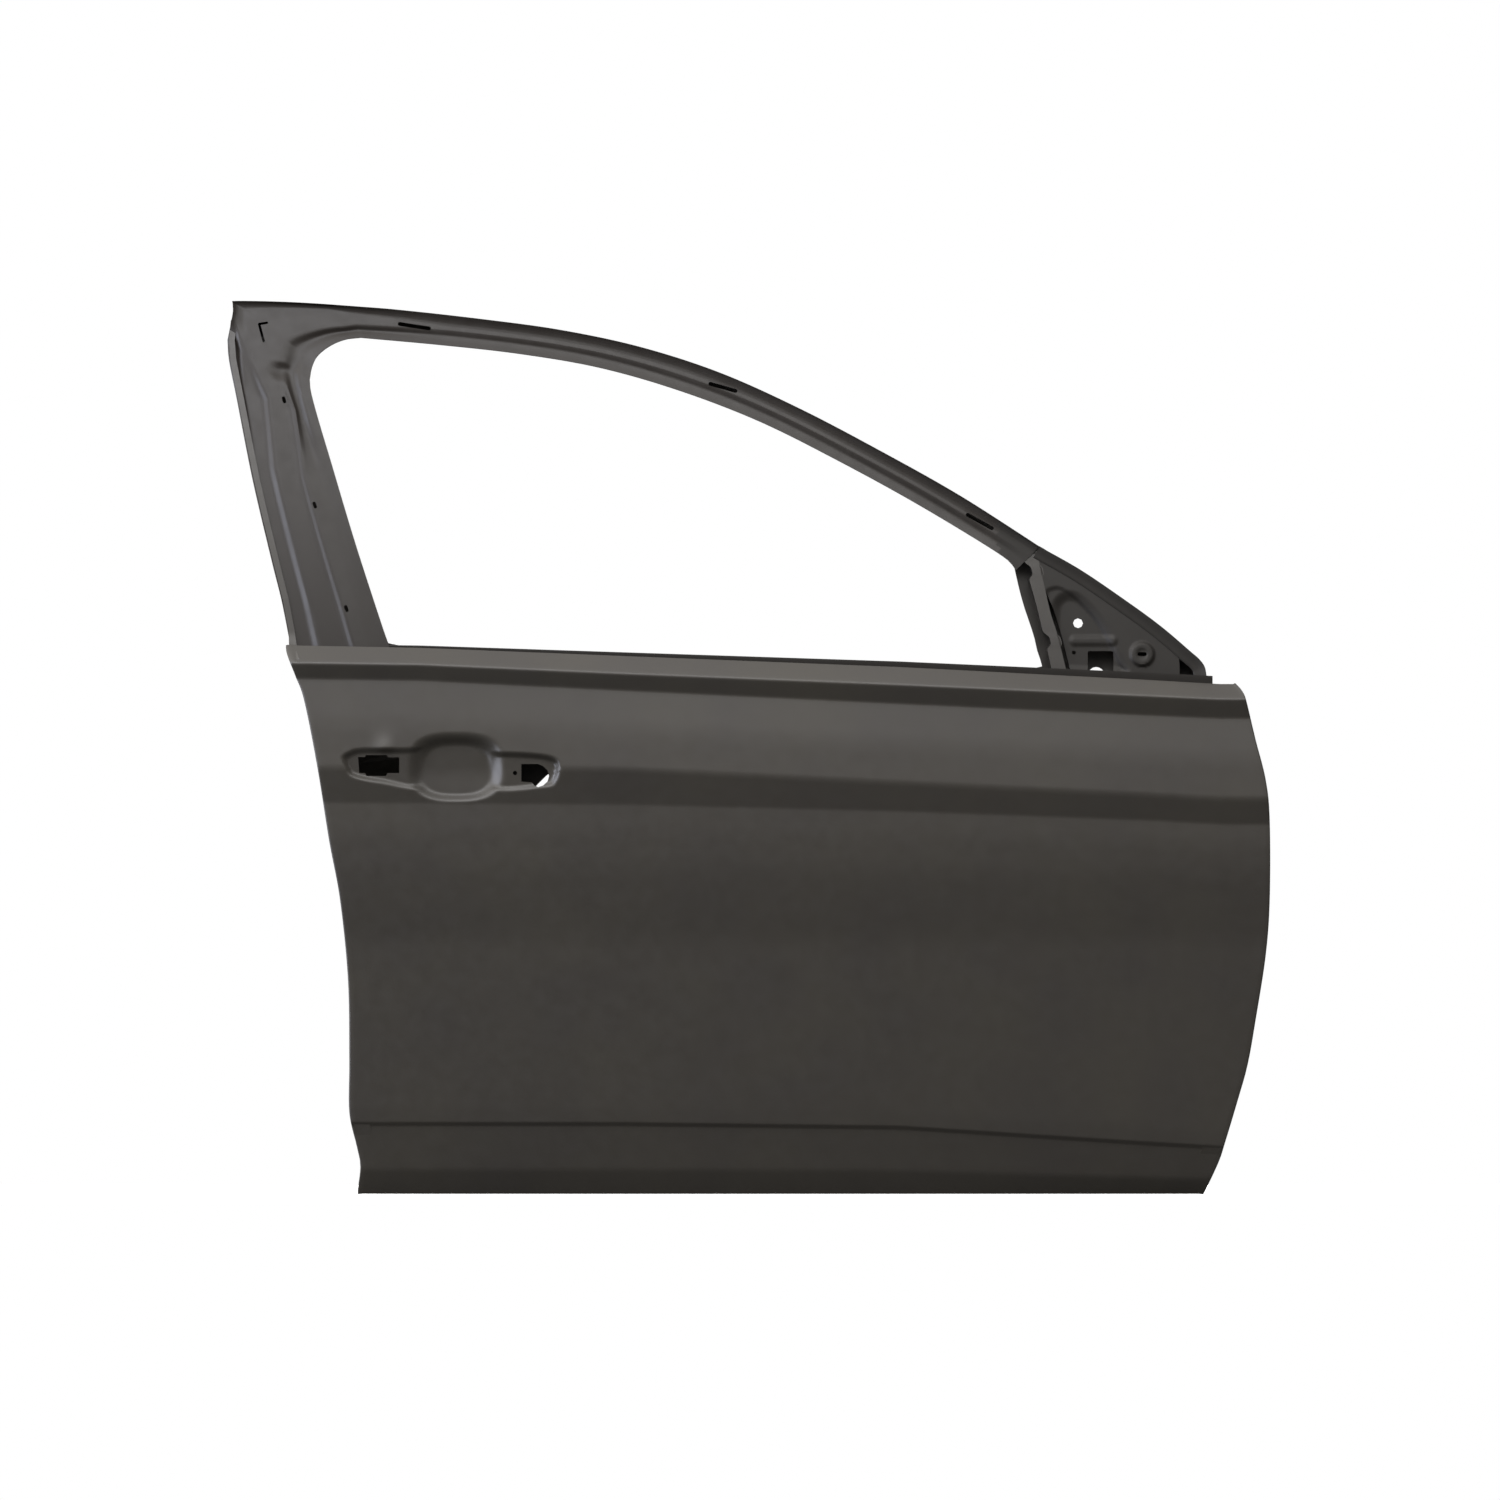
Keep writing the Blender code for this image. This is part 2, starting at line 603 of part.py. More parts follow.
def fold_edge(mesh, chain, closed, profile, deepen=lambda x, z: 1.0):
    """Carry a chain of edge vertices along a profile of (outwards in plan, inboard) steps.

    The inboard steps are multiplied by what deepen gives at each vertex, so a fold clears a sloping sheet.
    """
    plan = [np.array((vertex.co.x, vertex.co.z)) for vertex in chain]
    normals = inward_normals(plan, closed)
    area = sum(a[0] * b[1] - b[0] * a[1] for a, b in zip(plan, plan[1:] + plan[:1]))
    sign = -1.0 if area > 0.0 else 1.0
    rings = [chain]
    for outwards, inboard in profile:
        ring = []
        for vertex, place, normal in zip(chain, plan, normals):
            moved = place + normal * sign * outwards
            depth = vertex.co.y + inboard * deepen(*place)
            ring.append(mesh.verts.new((moved[0], depth, moved[1])))
        rings.append(ring)
    loft(mesh, rings, closed)
    return rings


def turn_towards(mesh, facing):
    """Point the faces of an open sheet, taken together, towards one side."""
    bmesh.ops.recalc_face_normals(mesh, faces=mesh.faces[:])
    total = sum((face.normal * face.calc_area() for face in mesh.faces), Vector())
    if total.dot(Vector(facing)) < 0.0:
        bmesh.ops.reverse_faces(mesh, faces=mesh.faces[:])


def add_object(model, name, mesh, material_name):
    data = bpy.data.meshes.new(name)
    mesh.to_mesh(data)
    mesh.free()
    part = bpy.data.objects.new(name, data)
    part.parent = model["root"]
    model["parts"].objects.link(part)
    data.materials.append(model["materials"][material_name])
    data.shade_smooth()
    data.set_sharp_from_angle(angle=SHARP_ANGLE)
    return part


def add_sheet(model, name, mesh, thickness, material_name="primer", facing=OUTBOARD):
    """Finish an open mesh as a sheet whose thickness lies behind the side that it faces."""
    turn_towards(mesh, facing)
    part = add_object(model, name, mesh, material_name)
    solid = part.modifiers.new("Sheet thickness", "SOLIDIFY")
    solid.thickness = thickness
    solid.offset = -1.0
    solid.use_even_offset = True
    return part


def add_cutter(model, name, mesh):
    data = bpy.data.meshes.new(name)
    mesh.to_mesh(data)
    mesh.free()
    cutter = bpy.data.objects.new(name, data)
    cutter.parent = model["root"]
    model["cutters"].objects.link(cutter)
    cutter.hide_render = True
    cutter.display_type = "WIRE"
    return cutter


def cut(part, cutter):
    boolean = part.modifiers.new("Cut " + cutter.name, "BOOLEAN")
    boolean.operation = "DIFFERENCE"
    boolean.solver = "EXACT"
    boolean.object = cutter


def surface_hit(part, start, direction):
    """Where a ray first meets the finished surface of a part, and the surface's direction there."""
    finished = part.evaluated_get(bpy.context.evaluated_depsgraph_get())
    _, place, normal, _ = finished.ray_cast(Vector(start), Vector(direction))
    return place, normal


def rod_mesh(start, end, diameter, sides):
    """Closed round bar between two points."""
    start, end = Vector(start), Vector(end)
    mesh = bmesh.new()
    length = (end - start).length
    bmesh.ops.create_cone(mesh, cap_ends=True, segments=sides, radius1=diameter / 2.0, radius2=diameter / 2.0,
                          depth=length)
    turn = (end - start).to_track_quat("Z", "Y").to_matrix().to_4x4()
    bmesh.ops.transform(mesh, matrix=turn, verts=mesh.verts[:])
    bmesh.ops.translate(mesh, vec=(start + end) / 2.0, verts=mesh.verts[:])
    return mesh


# Pressings


def skin_outline():
    """Edge of the flat skin, inside the hem's bend: along the bottom, up the front, back along the belt."""
    levels = side_levels() + [float(len(SKIN_ROW_SHARES) - 1)]
    rear = [level_point(level, REAR_EDGE_SHARES, HEM_RADIUS) for level in levels]
    front = [level_point(level, FRONT_EDGE_SHARES, -HEM_RADIUS) for level in levels]
    rear_corner = np.array((edge_place(REAR_EDGE_SHARES, 0.0) + HEM_RADIUS, HEM_RADIUS))
    front_corner = np.array((edge_place(FRONT_EDGE_SHARES, 0.0) - HEM_RADIUS, HEM_RADIUS))
    bottom = straight_run(rear_corner, front_corner, STATION_SPACING)
    belt = [np.array((x, belt_height(x))) for x in skin_stations()
            if rear[-1][0] + FINE_SPACING / 2.0 < x < front[-1][0] - FINE_SPACING / 2.0]
    return bottom + front + belt[::-1] + rear[::-1]


def skin_stations():
    """Places along the door at which sheets that follow the skin have points."""
    stations = []
    knots = [0.0] + [share * DOOR_LENGTH for share in SKIN_STATION_SHARES] + [DOOR_LENGTH]
    for low, high in zip(knots, knots[1:]):
        steps = max(1, int(round((high - low) / STATION_SPACING)))
        stations += [low + (high - low) * step / steps for step in range(steps)]
    return stations


def handle_outlines():
    cup = super_ellipse(at(CUP_CENTRE_SHARES), CUP_HALF_LENGTH, CUP_HALF_HEIGHT, CUP_POWER, CUP_POINTS)
    return [cup, points_of(WING_REAR_SHARES), points_of(WING_FRONT_SHARES)]


def outside_handle(point):
    return not any(inside(point, outline) for outline in handle_outlines())


def skin_lines():
    """The skin's feature lines, broken where the handle recess interrupts them."""
    lines = []
    for row in range(1, len(SKIN_ROW_SHARES) - 1):
        start = level_point(row, REAR_EDGE_SHARES, HEM_RADIUS)
        end = level_point(row, FRONT_EDGE_SHARES, -HEM_RADIUS)
        inner = [np.array((x, skin_rows(x)[0][row])) for x in skin_stations()
                 if start[0] + FINE_SPACING / 2.0 < x < end[0] - FINE_SPACING / 2.0]
        run = []
        for point in [start] + inner + [end]:
            if outside_handle(point):
                run.append(point)
            elif run:
                lines.append((run, False, 0.0))
                run = []
        lines.append((run, False, 0.0))
    return [line for line in lines if len(line[0]) > 1]


def handle_lines():
    """Pressed lines of the handle recess: the cup's rim, wall and floor, and the two shallow wings."""
    centre = at(CUP_CENTRE_SHARES)
    lines = []
    for size_share, depth_share in CUP_RING_SHARES:
        ring = super_ellipse(centre, CUP_HALF_LENGTH * size_share, CUP_HALF_HEIGHT * size_share, CUP_POWER,
                             CUP_POINTS)
        lines.append((ring, True, CUP_DEPTH * depth_share))
    rim = lines[0][0]
    for shares in (WING_REAR_SHARES, WING_FRONT_SHARES):
        edge = smooth_curve(points_of(shares), FINE_SPACING / 2.0)
        middle = sum(edge) / len(edge)
        floor = [point + (middle - point) * WING_EDGE / np.linalg.norm(middle - point) for point in edge]
        lines.append(([point for point in edge if not inside(point, rim)], False, 0.0))
        lines.append(([point for point in floor if not inside(point, rim)], False, WING_DEPTH))
    return lines


def handle_openings():
    """The opening behind the grip, and the D-shaped one for the lock, drawn round its own middle."""
    slot = round_box(at(HANDLE_SLOT_SHARES), HANDLE_SLOT_LENGTH / 2.0, HANDLE_SLOT_HEIGHT / 2.0,
                     SLOT_WIDTH / 2.0)
    half = HANDLE_LOCK_HEIGHT / 2.0
    centre = at(HANDLE_LOCK_SHARES)
    lock = arc(centre + (HANDLE_LOCK_LENGTH / 2.0 - half, 0.0), half, -90.0, 90.0, 3 * SLOT_ROUND_STEPS)
    lock += [centre + (-HANDLE_LOCK_LENGTH / 2.0, half), centre + (-HANDLE_LOCK_LENGTH / 2.0, -half)]
    screw = circle(at(HANDLE_SCREW_SHARES), HANDLE_SCREW_DIAMETER, HOLE_POINTS // 2)
    return [slot, lock, screw]


def build_outer_panel(model):
    """The skin, hemmed round the inner panel along its rear, bottom and front edges."""
    openings = handle_openings()
    lines = skin_lines() + handle_lines() + [(opening, True, WING_DEPTH) for opening in openings]
    mesh = pressed_sheet(skin_outline(), openings, lines, skin_depth)

    def on_hem(place):
        plan = (place.x, place.z)
        near_handle = any(np.linalg.norm(point - plan) < SLOPE_GAP for hole in openings for point in hole)
        return place.z < level_height(HEM_TOP_ROW, place.x) + SLOPE_GAP and not near_handle

    chain, closed = edge_chain(mesh, on_hem)
    turns = [math.pi * step / (HEM_STEPS + 1) for step in range(1, HEM_STEPS + 2)]
    profile = [(HEM_RADIUS * math.sin(turn), HEM_RADIUS * (1.0 - math.cos(turn))) for turn in turns]
    profile.append((-HEM_RETURN, 2.0 * HEM_RADIUS))
    fold_edge(mesh, chain, closed, profile, lambda x, z: math.hypot(1.0, skin_slope(x, z)))
    return add_sheet(model, "outer_panel", mesh, SKIN_SHEET)


def frame_edge(spacing):
    """Outer edge of the window frame: mirror corner, header, rounded corner, pillar."""
    slope = smooth_curve(points_of(SLOPE_EDGE_SHARES), spacing)
    header = smooth_curve(points_of(HEADER_EDGE_SHARES), spacing)
    pillar = smooth_curve(points_of(PILLAR_EDGE_SHARES), spacing)
    corner = (header[-1] + pillar[0] + np.array((pillar[0][0], header[-1][1]))) / 3.0
    return slope + header[1:] + [corner] + pillar


def opening_edge(spacing):
    """Window opening from its front lower corner over the top to its rear lower corner."""
    front = smooth_curve(points_of(OPENING_FRONT_SHARES), spacing)
    top = smooth_curve(points_of(OPENING_TOP_SHARES), spacing)
    rear = smooth_curve(points_of(OPENING_REAR_SHARES), spacing)
    return front + top + rear


def opening_outline(spacing):
    """The whole window opening, closed along the belt below the lip of the outer reinforcement."""
    edge = opening_edge(spacing)
    start, end = edge[-1][0], edge[0][0]
    steps = int(round((end - start) / spacing))
    places = [start + (end - start) * step / steps for step in range(1, steps)]
    return edge + [np.array((x, belt_height(x) - BELT_EDGE_DROP)) for x in places]


def ring_stations():
    """Matching points of the inner panel's edge loops, anticlockwise seen from outside.

    Returns the loops from the flange's edge to the main face, and the depth of each point.
    """
    flange, fold, depths, fold_depths = [], [], [], []

    def add(edge_point, fold_point):
        flange.append(edge_point)
        fold.append(fold_point)
        depths.append(behind_skin(*edge_point, SLOPE_GAP))
        fold_depths.append(behind_skin(*fold_point, SLOPE_GAP))

    start = at(REAR_WALL_SHARES[-1])[0]
    end = at(FRONT_WALL_SHARES[-1])[0]
    rear_corner = np.array((edge_place(REAR_EDGE_SHARES, 0.0) + FLANGE_INSET, FLANGE_INSET))
    front_corner = np.array((edge_place(FRONT_EDGE_SHARES, 0.0) - FLANGE_INSET, FLANGE_INSET))
    edge_run = straight_run(rear_corner, front_corner, STATION_SPACING)
    fold_run = [np.array((start + (end - start) * step / (len(edge_run) - 1), BOTTOM_FLANGE))
                for step in range(len(edge_run))]
    for edge_point, fold_point in zip(edge_run, fold_run):
        add(edge_point, fold_point)
    for level in side_levels():
        add(level_point(level, FRONT_EDGE_SHARES, -FLANGE_INSET), level_point(level, FRONT_WALL_SHARES))
    add(*points_of(BELT_FRONT_OUTER_SHARES))
    body_front = len(flange)

    frame = frame_edge(STATION_SPACING)[FRAME_START:]
    frame_in = offset_points(frame, FRAME_SHEET + 2.0 * SEAT_GAP)
    frame_fold = offset_points(frame, FRAME_FLANGE + FRAME_SHEET)
    pairs = [points_of(BELT_FRONT_INNER_SHARES)] + list(zip(frame_in, frame_fold))
    for edge_point, fold_point in pairs + [points_of(BELT_REAR_SHARES)]:
        flange.append(edge_point)
        fold.append(fold_point)
        for store, point in ((depths, edge_point), (fold_depths, fold_point)):
            store.append(frame_depth(*point) + FRAME_SHEET * math.hypot(1.0, FRAME_HIGH_SLOPE) + SLOPE_GAP)
    body_rear = len(flange)
    for level in reversed(side_levels()):
        add(level_point(level, REAR_EDGE_SHARES, FLANGE_INSET), level_point(level, REAR_WALL_SHARES))

    in_frame = [body_front <= index < body_rear for index in range(len(flange))]
    drafts = [FRAME_WALL_DRAFT if flag else WALL_DRAFT for flag in in_frame]
    lands = [drafts[i] + (FRAME_LAND if flag else SEAL_LAND) for i, flag in enumerate(in_frame)]
    steps = [lands[i] + (FRAME_WALL_DRAFT if flag else LAND_STEP_RUN) for i, flag in enumerate(in_frame)]
    wall_foot = offset_points(fold, drafts, closed=True)
    land_edge = offset_points(fold, lands, closed=True)
    face_edge = offset_points(fold, steps, closed=True)
    lowest_front = len(edge_run)
    for loop in (wall_foot, land_edge, face_edge):
        for index, corner, above in ((lowest_front, lowest_front - 1, lowest_front + 1), (-1, 0, -2)):
            loop[index] = loop[corner] + (loop[above] - loop[corner]) * CORNER_STATION_SHARE
    steps_in = [0.0 if flag else SEAL_LAND_STEP for flag in in_frame]
    loops = [flange, fold, wall_foot, land_edge, face_edge]
    loop_depths = [
        depths,
        fold_depths,
        [inner_depth(*point) - step for point, step in zip(wall_foot, steps_in)],
        [inner_depth(*point) - step for point, step in zip(land_edge, steps_in)],
        [inner_depth(*point) for point in face_edge],
    ]
    return loops, loop_depths


def build_inner_panel(model):
    """The inner pressing: hem flange, walls, seal land, main face and the frame's inner half."""
    loops, loop_depths = ring_stations()
    opening = opening_outline(STATION_SPACING)
    holes, lines = [opening], []
    for centre_share, half_share in (SERVICE_REAR_SHARES, SERVICE_FRONT_SHARES, SERVICE_LOWER_SHARES):
        half_length, half_height = at(half_share)
        centre = at(centre_share)
        holes.append(round_box(centre, half_length, half_height, APERTURE_RADIUS))
        rim = round_box(centre, half_length + APERTURE_LIP, half_height + APERTURE_LIP,
                        APERTURE_RADIUS + APERTURE_LIP)
        lines.append((rim, True, SPEAKER_EMBOSS))
    speaker = at(SPEAKER_CENTRE_SHARES)
    holes.append(circle(speaker, SPEAKER_DIAMETER, SPEAKER_POINTS))
    for rims, emboss in ((2.0, 0.0), (4.0, SPEAKER_EMBOSS)):
        rim = circle(speaker, SPEAKER_DIAMETER + rims * SPEAKER_RIM, SPEAKER_POINTS)
        lines.append((rim, True, emboss))
    holes += [circle(at(share), ACCESS_HOLE_DIAMETER, HOLE_POINTS) for share in ACCESS_HOLE_SHARES]
    holes += [circle(at(share), PIERCED_HOLE_DIAMETER, HOLE_POINTS // 2) for share in PIERCED_HOLE_SHARES]
    holes.append(circle(at(MIRROR_WINDOW_SHARES), MIRROR_WIRE_HOLE_DIAMETER, HOLE_POINTS))
    holes.append(circle(at(MIRROR_HOLE_SHARES), MIRROR_HOLE_DIAMETER, HOLE_POINTS // 2))
    first, last = loops[-1][0][0] + 2.0 * FINE_SPACING, DOOR_LENGTH * SKIN_STATION_SHARES[-2]
    for drop in (2.0 * BELT_EDGE_DROP, BELT_RAMP_HEIGHT):
        ramp = [np.array((x, belt_height(x) - drop)) for x in np.linspace(first, last, HOLE_POINTS)]
        lines.append((ramp, False, 0.0))
    mesh = pressed_sheet(loops[-1], holes, lines, inner_depth)
    edge = [vertex for vertex in mesh.verts if vertex.is_boundary]
    rings = []
    for loop, depths in list(zip(loops, loop_depths))[:-1]:
        rings.append([mesh.verts.new((point[0], depth, point[1])) for point, depth in zip(loop, depths)])
    face_ring = []
    for x, z in loops[-1]:
        face_ring.append(min(edge, key=lambda vertex: math.hypot(vertex.co.x - x, vertex.co.z - z)))
    loft(mesh, rings + [face_ring], True)

    edge, _ = edge_chain(mesh, lambda place: min(np.linalg.norm(point - (place.x, place.z))
                                                 for point in opening) < SLOPE_GAP)
    lowest = min(edge, key=lambda vertex: vertex.co.z)
    start = edge.index(lowest)
    reveal = [vertex for vertex in edge[start:] + edge[:start]
              if vertex.co.z > belt_height(vertex.co.x) + FINE_SPACING]
    fold_edge(mesh, reveal, False, [(RUN_CHANNEL_LIP, -RUN_CHANNEL_DEPTH)])
    return add_sheet(model, "inner_panel", mesh, INNER_SHEET)


def build_frame_outer(model):
    """Outer pressing of the window frame: pillar, header and the rim of the mirror corner."""
    edge = frame_edge(STATION_SPACING)[3:]
    opening = opening_edge(STATION_SPACING)
    slope_inner = offset_points(smooth_curve(points_of(SLOPE_EDGE_SHARES), STATION_SPACING)[3:],
                                FRAME_FLANGE + RIDGE_HALF_WIDTH)
    inner_top = [point for point in opening if point[1] > at(OPENING_FRONT_SHARES[-1])[1] - SLOPE_GAP
                 or point[0] < at(OPENING_TOP_SHARES[-1])[0]]
    foot = [np.array((opening[-1][0], belt_height(opening[-1][0]) + STIFF_SHEET)),
            np.array((edge[-1][0], belt_height(edge[-1][0]) + STIFF_SHEET))]
    rim = slope_inner[::-1]
    outline = edge + foot[::-1] + inner_top[::-1][1:] + rim
    holes = [round_slot(at(start), at(end), SLOT_WIDTH) for start, end in FRAME_SLOT_SHARES]
    lines = []
    for shares, height in ((RIDGE_REAR_SHARES, -PILLAR_RIDGE), (RIDGE_FRONT_SHARES, -PILLAR_RIDGE),
                           (GROOVE_SHARES, HEADER_GROOVE)):
        middle = smooth_curve(points_of(shares), STATION_SPACING)
        lines.append((middle, False, height))
        for side in (-RIDGE_HALF_WIDTH, RIDGE_HALF_WIDTH):
            lines.append((offset_points(middle, side), False, 0.0))
    mesh = pressed_sheet(outline, holes, lines, frame_depth)
    chain, _ = edge_chain(mesh, lambda place: min(np.linalg.norm(point - (place.x, place.z))
                                                  for point in edge) < SLOPE_GAP)
    fold_edge(mesh, chain, False, [(0.0, FRAME_LIP)])
    return add_sheet(model, "window_frame_outer", mesh, FRAME_SHEET)


def build_mirror_reinforcement(model):
    """Recessed plate of the mirror corner, welded behind the frame's rim."""
    outline = points_of(MIRROR_PLATE_SHARES)[::-1]
    recess = smooth_curve(points_of(MIRROR_RECESS_SHARES), FINE_SPACING / 2.0)
    middle = sum(recess) / len(recess)
    floor = [point + (middle - point) * RIDGE_HALF_WIDTH / np.linalg.norm(middle - point) for point in recess]
    boss = at(MIRROR_BOSS_SHARES)
    half_slot, half_window = MIRROR_SLOT_LENGTH / 2.0, MIRROR_WINDOW / 2.0
    holes = [
        circle(at(MIRROR_HOLE_SHARES), MIRROR_HOLE_DIAMETER, HOLE_POINTS),
        circle(at(MIRROR_PIN_SHARES), MIRROR_PIN_DIAMETER, HOLE_POINTS // 2),
        round_box(at(MIRROR_WINDOW_SHARES), half_window, half_window, MIRROR_PIN_DIAMETER / 2.0),
        round_slot(boss - (half_slot, 0.0), boss + (half_slot, 0.0), MIRROR_SLOT_HEIGHT),
    ]
    boss_top = circle(boss, MIRROR_BOSS_DIAMETER - 2.0 * MIRROR_BOSS_HEIGHT, HOLE_POINTS)
    lines = [
        (recess, False, 0.0), (floor, False, MIRROR_RECESS),
        (circle(boss, MIRROR_BOSS_DIAMETER, HOLE_POINTS), True, 0.0),
        (boss_top, True, -MIRROR_BOSS_HEIGHT),
    ]
    lines += [(hole, True, MIRROR_RECESS) for hole in holes[:-1]]
    lines.append((holes[-1], True, -MIRROR_BOSS_HEIGHT))
    setback = FRAME_SHEET * math.hypot(1.0, FRAME_HIGH_SLOPE) + SLOPE_GAP
    mesh = pressed_sheet(outline, holes, lines, lambda x, z: frame_depth(x, z) + setback)
    return add_sheet(model, "mirror_reinforcement", mesh, STIFF_SHEET)


def section_sheet(model, name, sections, thickness, material_name="primer", facing=OUTBOARD):
    """Sheet through matching sections of points."""
    mesh = bmesh.new()
    loft(mesh, [[mesh.verts.new(point) for point in section] for section in sections], False)
    return add_sheet(model, name, mesh, thickness, material_name, facing)


def build_front_sash(model):
    """Strip that closes the window's front edge: flange beside the mirror plate, wall, channel floor."""
    floor_depth = FRAME_DEPTH - RUN_CHANNEL_DEPTH - FRAME_SHEET - SLOPE_GAP
    opening_heights = [share[1] * DOOR_HEIGHT for share in OPENING_FRONT_SHARES]
    opening_places = [share[0] * DOOR_LENGTH for share in OPENING_FRONT_SHARES]
    sections = []
    for left_share, right_share in SASH_SHARES:
        left, right = at(left_share), at(right_share)
        z = left[1]
        window = float(np.interp(z, opening_heights, opening_places)) + RUN_CHANNEL_LIP
        foot = left[0] - RIDGE_HALF_WIDTH / 2.0
        sections.append([
            (right[0], frame_depth(right[0], right[1]) + SASH_SETBACK, right[1]),
            (left[0], frame_depth(left[0], z) + SASH_SETBACK, z),
            (foot, frame_depth(foot, z) + floor_depth, z),
            (min(window, foot - RIDGE_HALF_WIDTH), frame_depth(window, z) + floor_depth, z),
        ])
    return section_sheet(model, "front_sash", sections, FRAME_SHEET, "primer_light")


def build_belt_reinforcements(model):
    """The two long strips along the window slot: one behind the skin, one on the inner panel."""
    start, end = BELT_OUTER_ENDS_SHARES
    sections = []
    for x in np.linspace(start * DOOR_LENGTH, end * DOOR_LENGTH, BELT_STATIONS):
        along = (x - start * DOOR_LENGTH) / ((end - start) * DOOR_LENGTH)
        lip = BELT_LIP_REAR + (BELT_LIP_FRONT - BELT_LIP_REAR) * along
        z = belt_height(x)
        depth = skin_depth(x, z) + SKIN_SHEET / math.hypot(1.0, skin_slope(x, z)) + SEAT_GAP
        steps = ((lip, 0.0), (-BELT_OUTER_HEIGHT / 3.0, 0.0), (-BELT_OUTER_HEIGHT / 2.0, BELT_STEP),
                 (-BELT_OUTER_HEIGHT, BELT_STEP))
        sections.append([(x, depth + inboard, z + rise) for rise, inboard in steps])
    section_sheet(model, "belt_reinforcement_outer", sections, FRAME_SHEET)

    start, end = BELT_INNER_ENDS_SHARES
    sections = []
    for x in np.linspace(start * DOOR_LENGTH, end * DOOR_LENGTH, BELT_STATIONS):
        section = []
        for drop_share, bulge_share in BELT_BEAD_SHARES:
            z = belt_height(x) - BELT_INNER_DROP - drop_share * BELT_INNER_HEIGHT
            section.append((x, inner_depth(x, z) - SLOPE_GAP - bulge_share * BELT_STEP, z))
        sections.append(section)
    section_sheet(model, "belt_reinforcement_inner", sections, FRAME_SHEET, facing=INBOARD)


def check_link_height():
    """Height of the check link, whose reinforcement stands on the lower hinge's."""
    return HINGE_LOWER_SHARE * DOOR_HEIGHT + HINGE_PAD_HEIGHT / 2.0 + FIXING_GAP + CHECK_PAD_HEIGHT / 2.0


def beam_ends():
    """Axis points of the crash beam at its two ends; the front end stands on the check link's fixing."""
    bracket = BEAM_DIAMETER / 2.0 / math.cos(math.pi / BEAM_SIDES) + SLOPE_GAP + 2.0 * SADDLE_FLANGE
    front_height = check_link_height() + CHECK_PAD_HEIGHT / 2.0 + FIXING_GAP + bracket
    ends = []
    for x, z in (at(BEAM_REAR_SHARES), (BEAM_FRONT_SHARE * DOOR_LENGTH, front_height)):
        ends.append(Vector((x, skin_depth(x, z) + SKIN_SHEET + BEAM_CLEARANCE + BEAM_DIAMETER / 2.0, z)))
    return ends


def wall_place(wall_shares, z, depth, side):
    """Place of a side wall's cavity face; side is 1 at the front wall and -1 at the rear one."""
    fold = fold_place(wall_shares, z)
    fold_depth = behind_skin(fold, z, SLOPE_GAP)
    foot_depth = inner_depth(fold, z) - SEAL_LAND_STEP
    share = (depth - fold_depth) / (foot_depth - fold_depth)
    return fold - side * WALL_DRAFT * share


def build_crash_beam(model):
    """Round tube behind the skin, held at each end by a hat-shaped bracket welded to the side wall."""
    rear, front = beam_ends()
    beam = add_object(model, "crash_beam", rod_mesh(rear, front, BEAM_DIAMETER, BEAM_SIDES), "primer")
    along = (front - rear).normalized()
    overrun = along * CUT_OVERRUN
    bore = rod_mesh(rear - overrun, front + overrun, BEAM_DIAMETER - 2.0 * BEAM_WALL, BEAM_SIDES)
    cut(beam, add_cutter(model, "crash_beam_bore", bore))
    radius = BEAM_DIAMETER / 2.0 / math.cos(math.pi / BEAM_SIDES) + SLOPE_GAP
    for name, end, wall, side in (("beam_bracket_rear", rear, REAR_WALL_SHARES, -1.0),
                                  ("beam_bracket_front", front, FRONT_WALL_SHARES, 1.0)):
        hat = [(radius + SADDLE_FLANGE, 0.0), (radius, 0.0)]
        hat += [(radius * math.cos(turn), radius * math.sin(turn))
                for turn in np.linspace(0.0, math.pi, SADDLE_STEPS + 1)[1:-1]]
        hat += [(-radius, 0.0), (-radius - SADDLE_FLANGE, 0.0)]
        at_wall, spread, inner = [], [], []
        for up, inboard in hat:
            depth = end.y + inboard
            gap = side * (SEAT_GAP + SLOPE_GAP)
            x = wall_place(wall, end.z + up, depth, side) - gap
            rise = along.z / along.x
            z = end.z + up + (x - end.x) * rise
            shift = (x - end.x) * along.y / along.x
            at_wall.append((x - side * STIFF_SHEET, depth + shift, z))
            inner_x = x - side * SADDLE_LENGTH
            inner.append((inner_x, end.y + inboard + (inner_x - end.x) * along.y / along.x,
                          end.z + up + (inner_x - end.x) * rise))
            reach = Vector((up, inboard)).normalized() * SADDLE_FLANGE
            far_depth = end.y + inboard + reach.y
            far_z = end.z + up + reach.x
            far_x = wall_place(wall, far_z, far_depth, side) - gap
            spread.append((far_x, far_depth + shift, far_z + (far_x - end.x) * rise))
        section_sheet(model, name, [inner, at_wall, spread], STIFF_SHEET)


def wall_plate(model, name, wall_shares, side, centre_z, height, thickness):
    """Reinforcement lying on the cavity side of a side wall, with a stiffening flange near the skin."""
    sections = []
    for z in np.linspace(centre_z - height / 2.0, centre_z + height / 2.0, 3):
        fold = fold_place(wall_shares, z)
        near = behind_skin(fold, z, SLOPE_GAP) + PAD_SETBACK
        deep = near + PAD_DEPTH
        gap = side * SLOPE_GAP
        near_x = wall_place(wall_shares, z, near, side) - gap
        deep_x = wall_place(wall_shares, z, deep, side) - gap
        sections.append([(near_x - side * PAD_RETURN, near, z), (near_x, near, z), (deep_x, deep, z)])
    return section_sheet(model, name, sections, thickness, facing=(side, 0.0, 0.0))


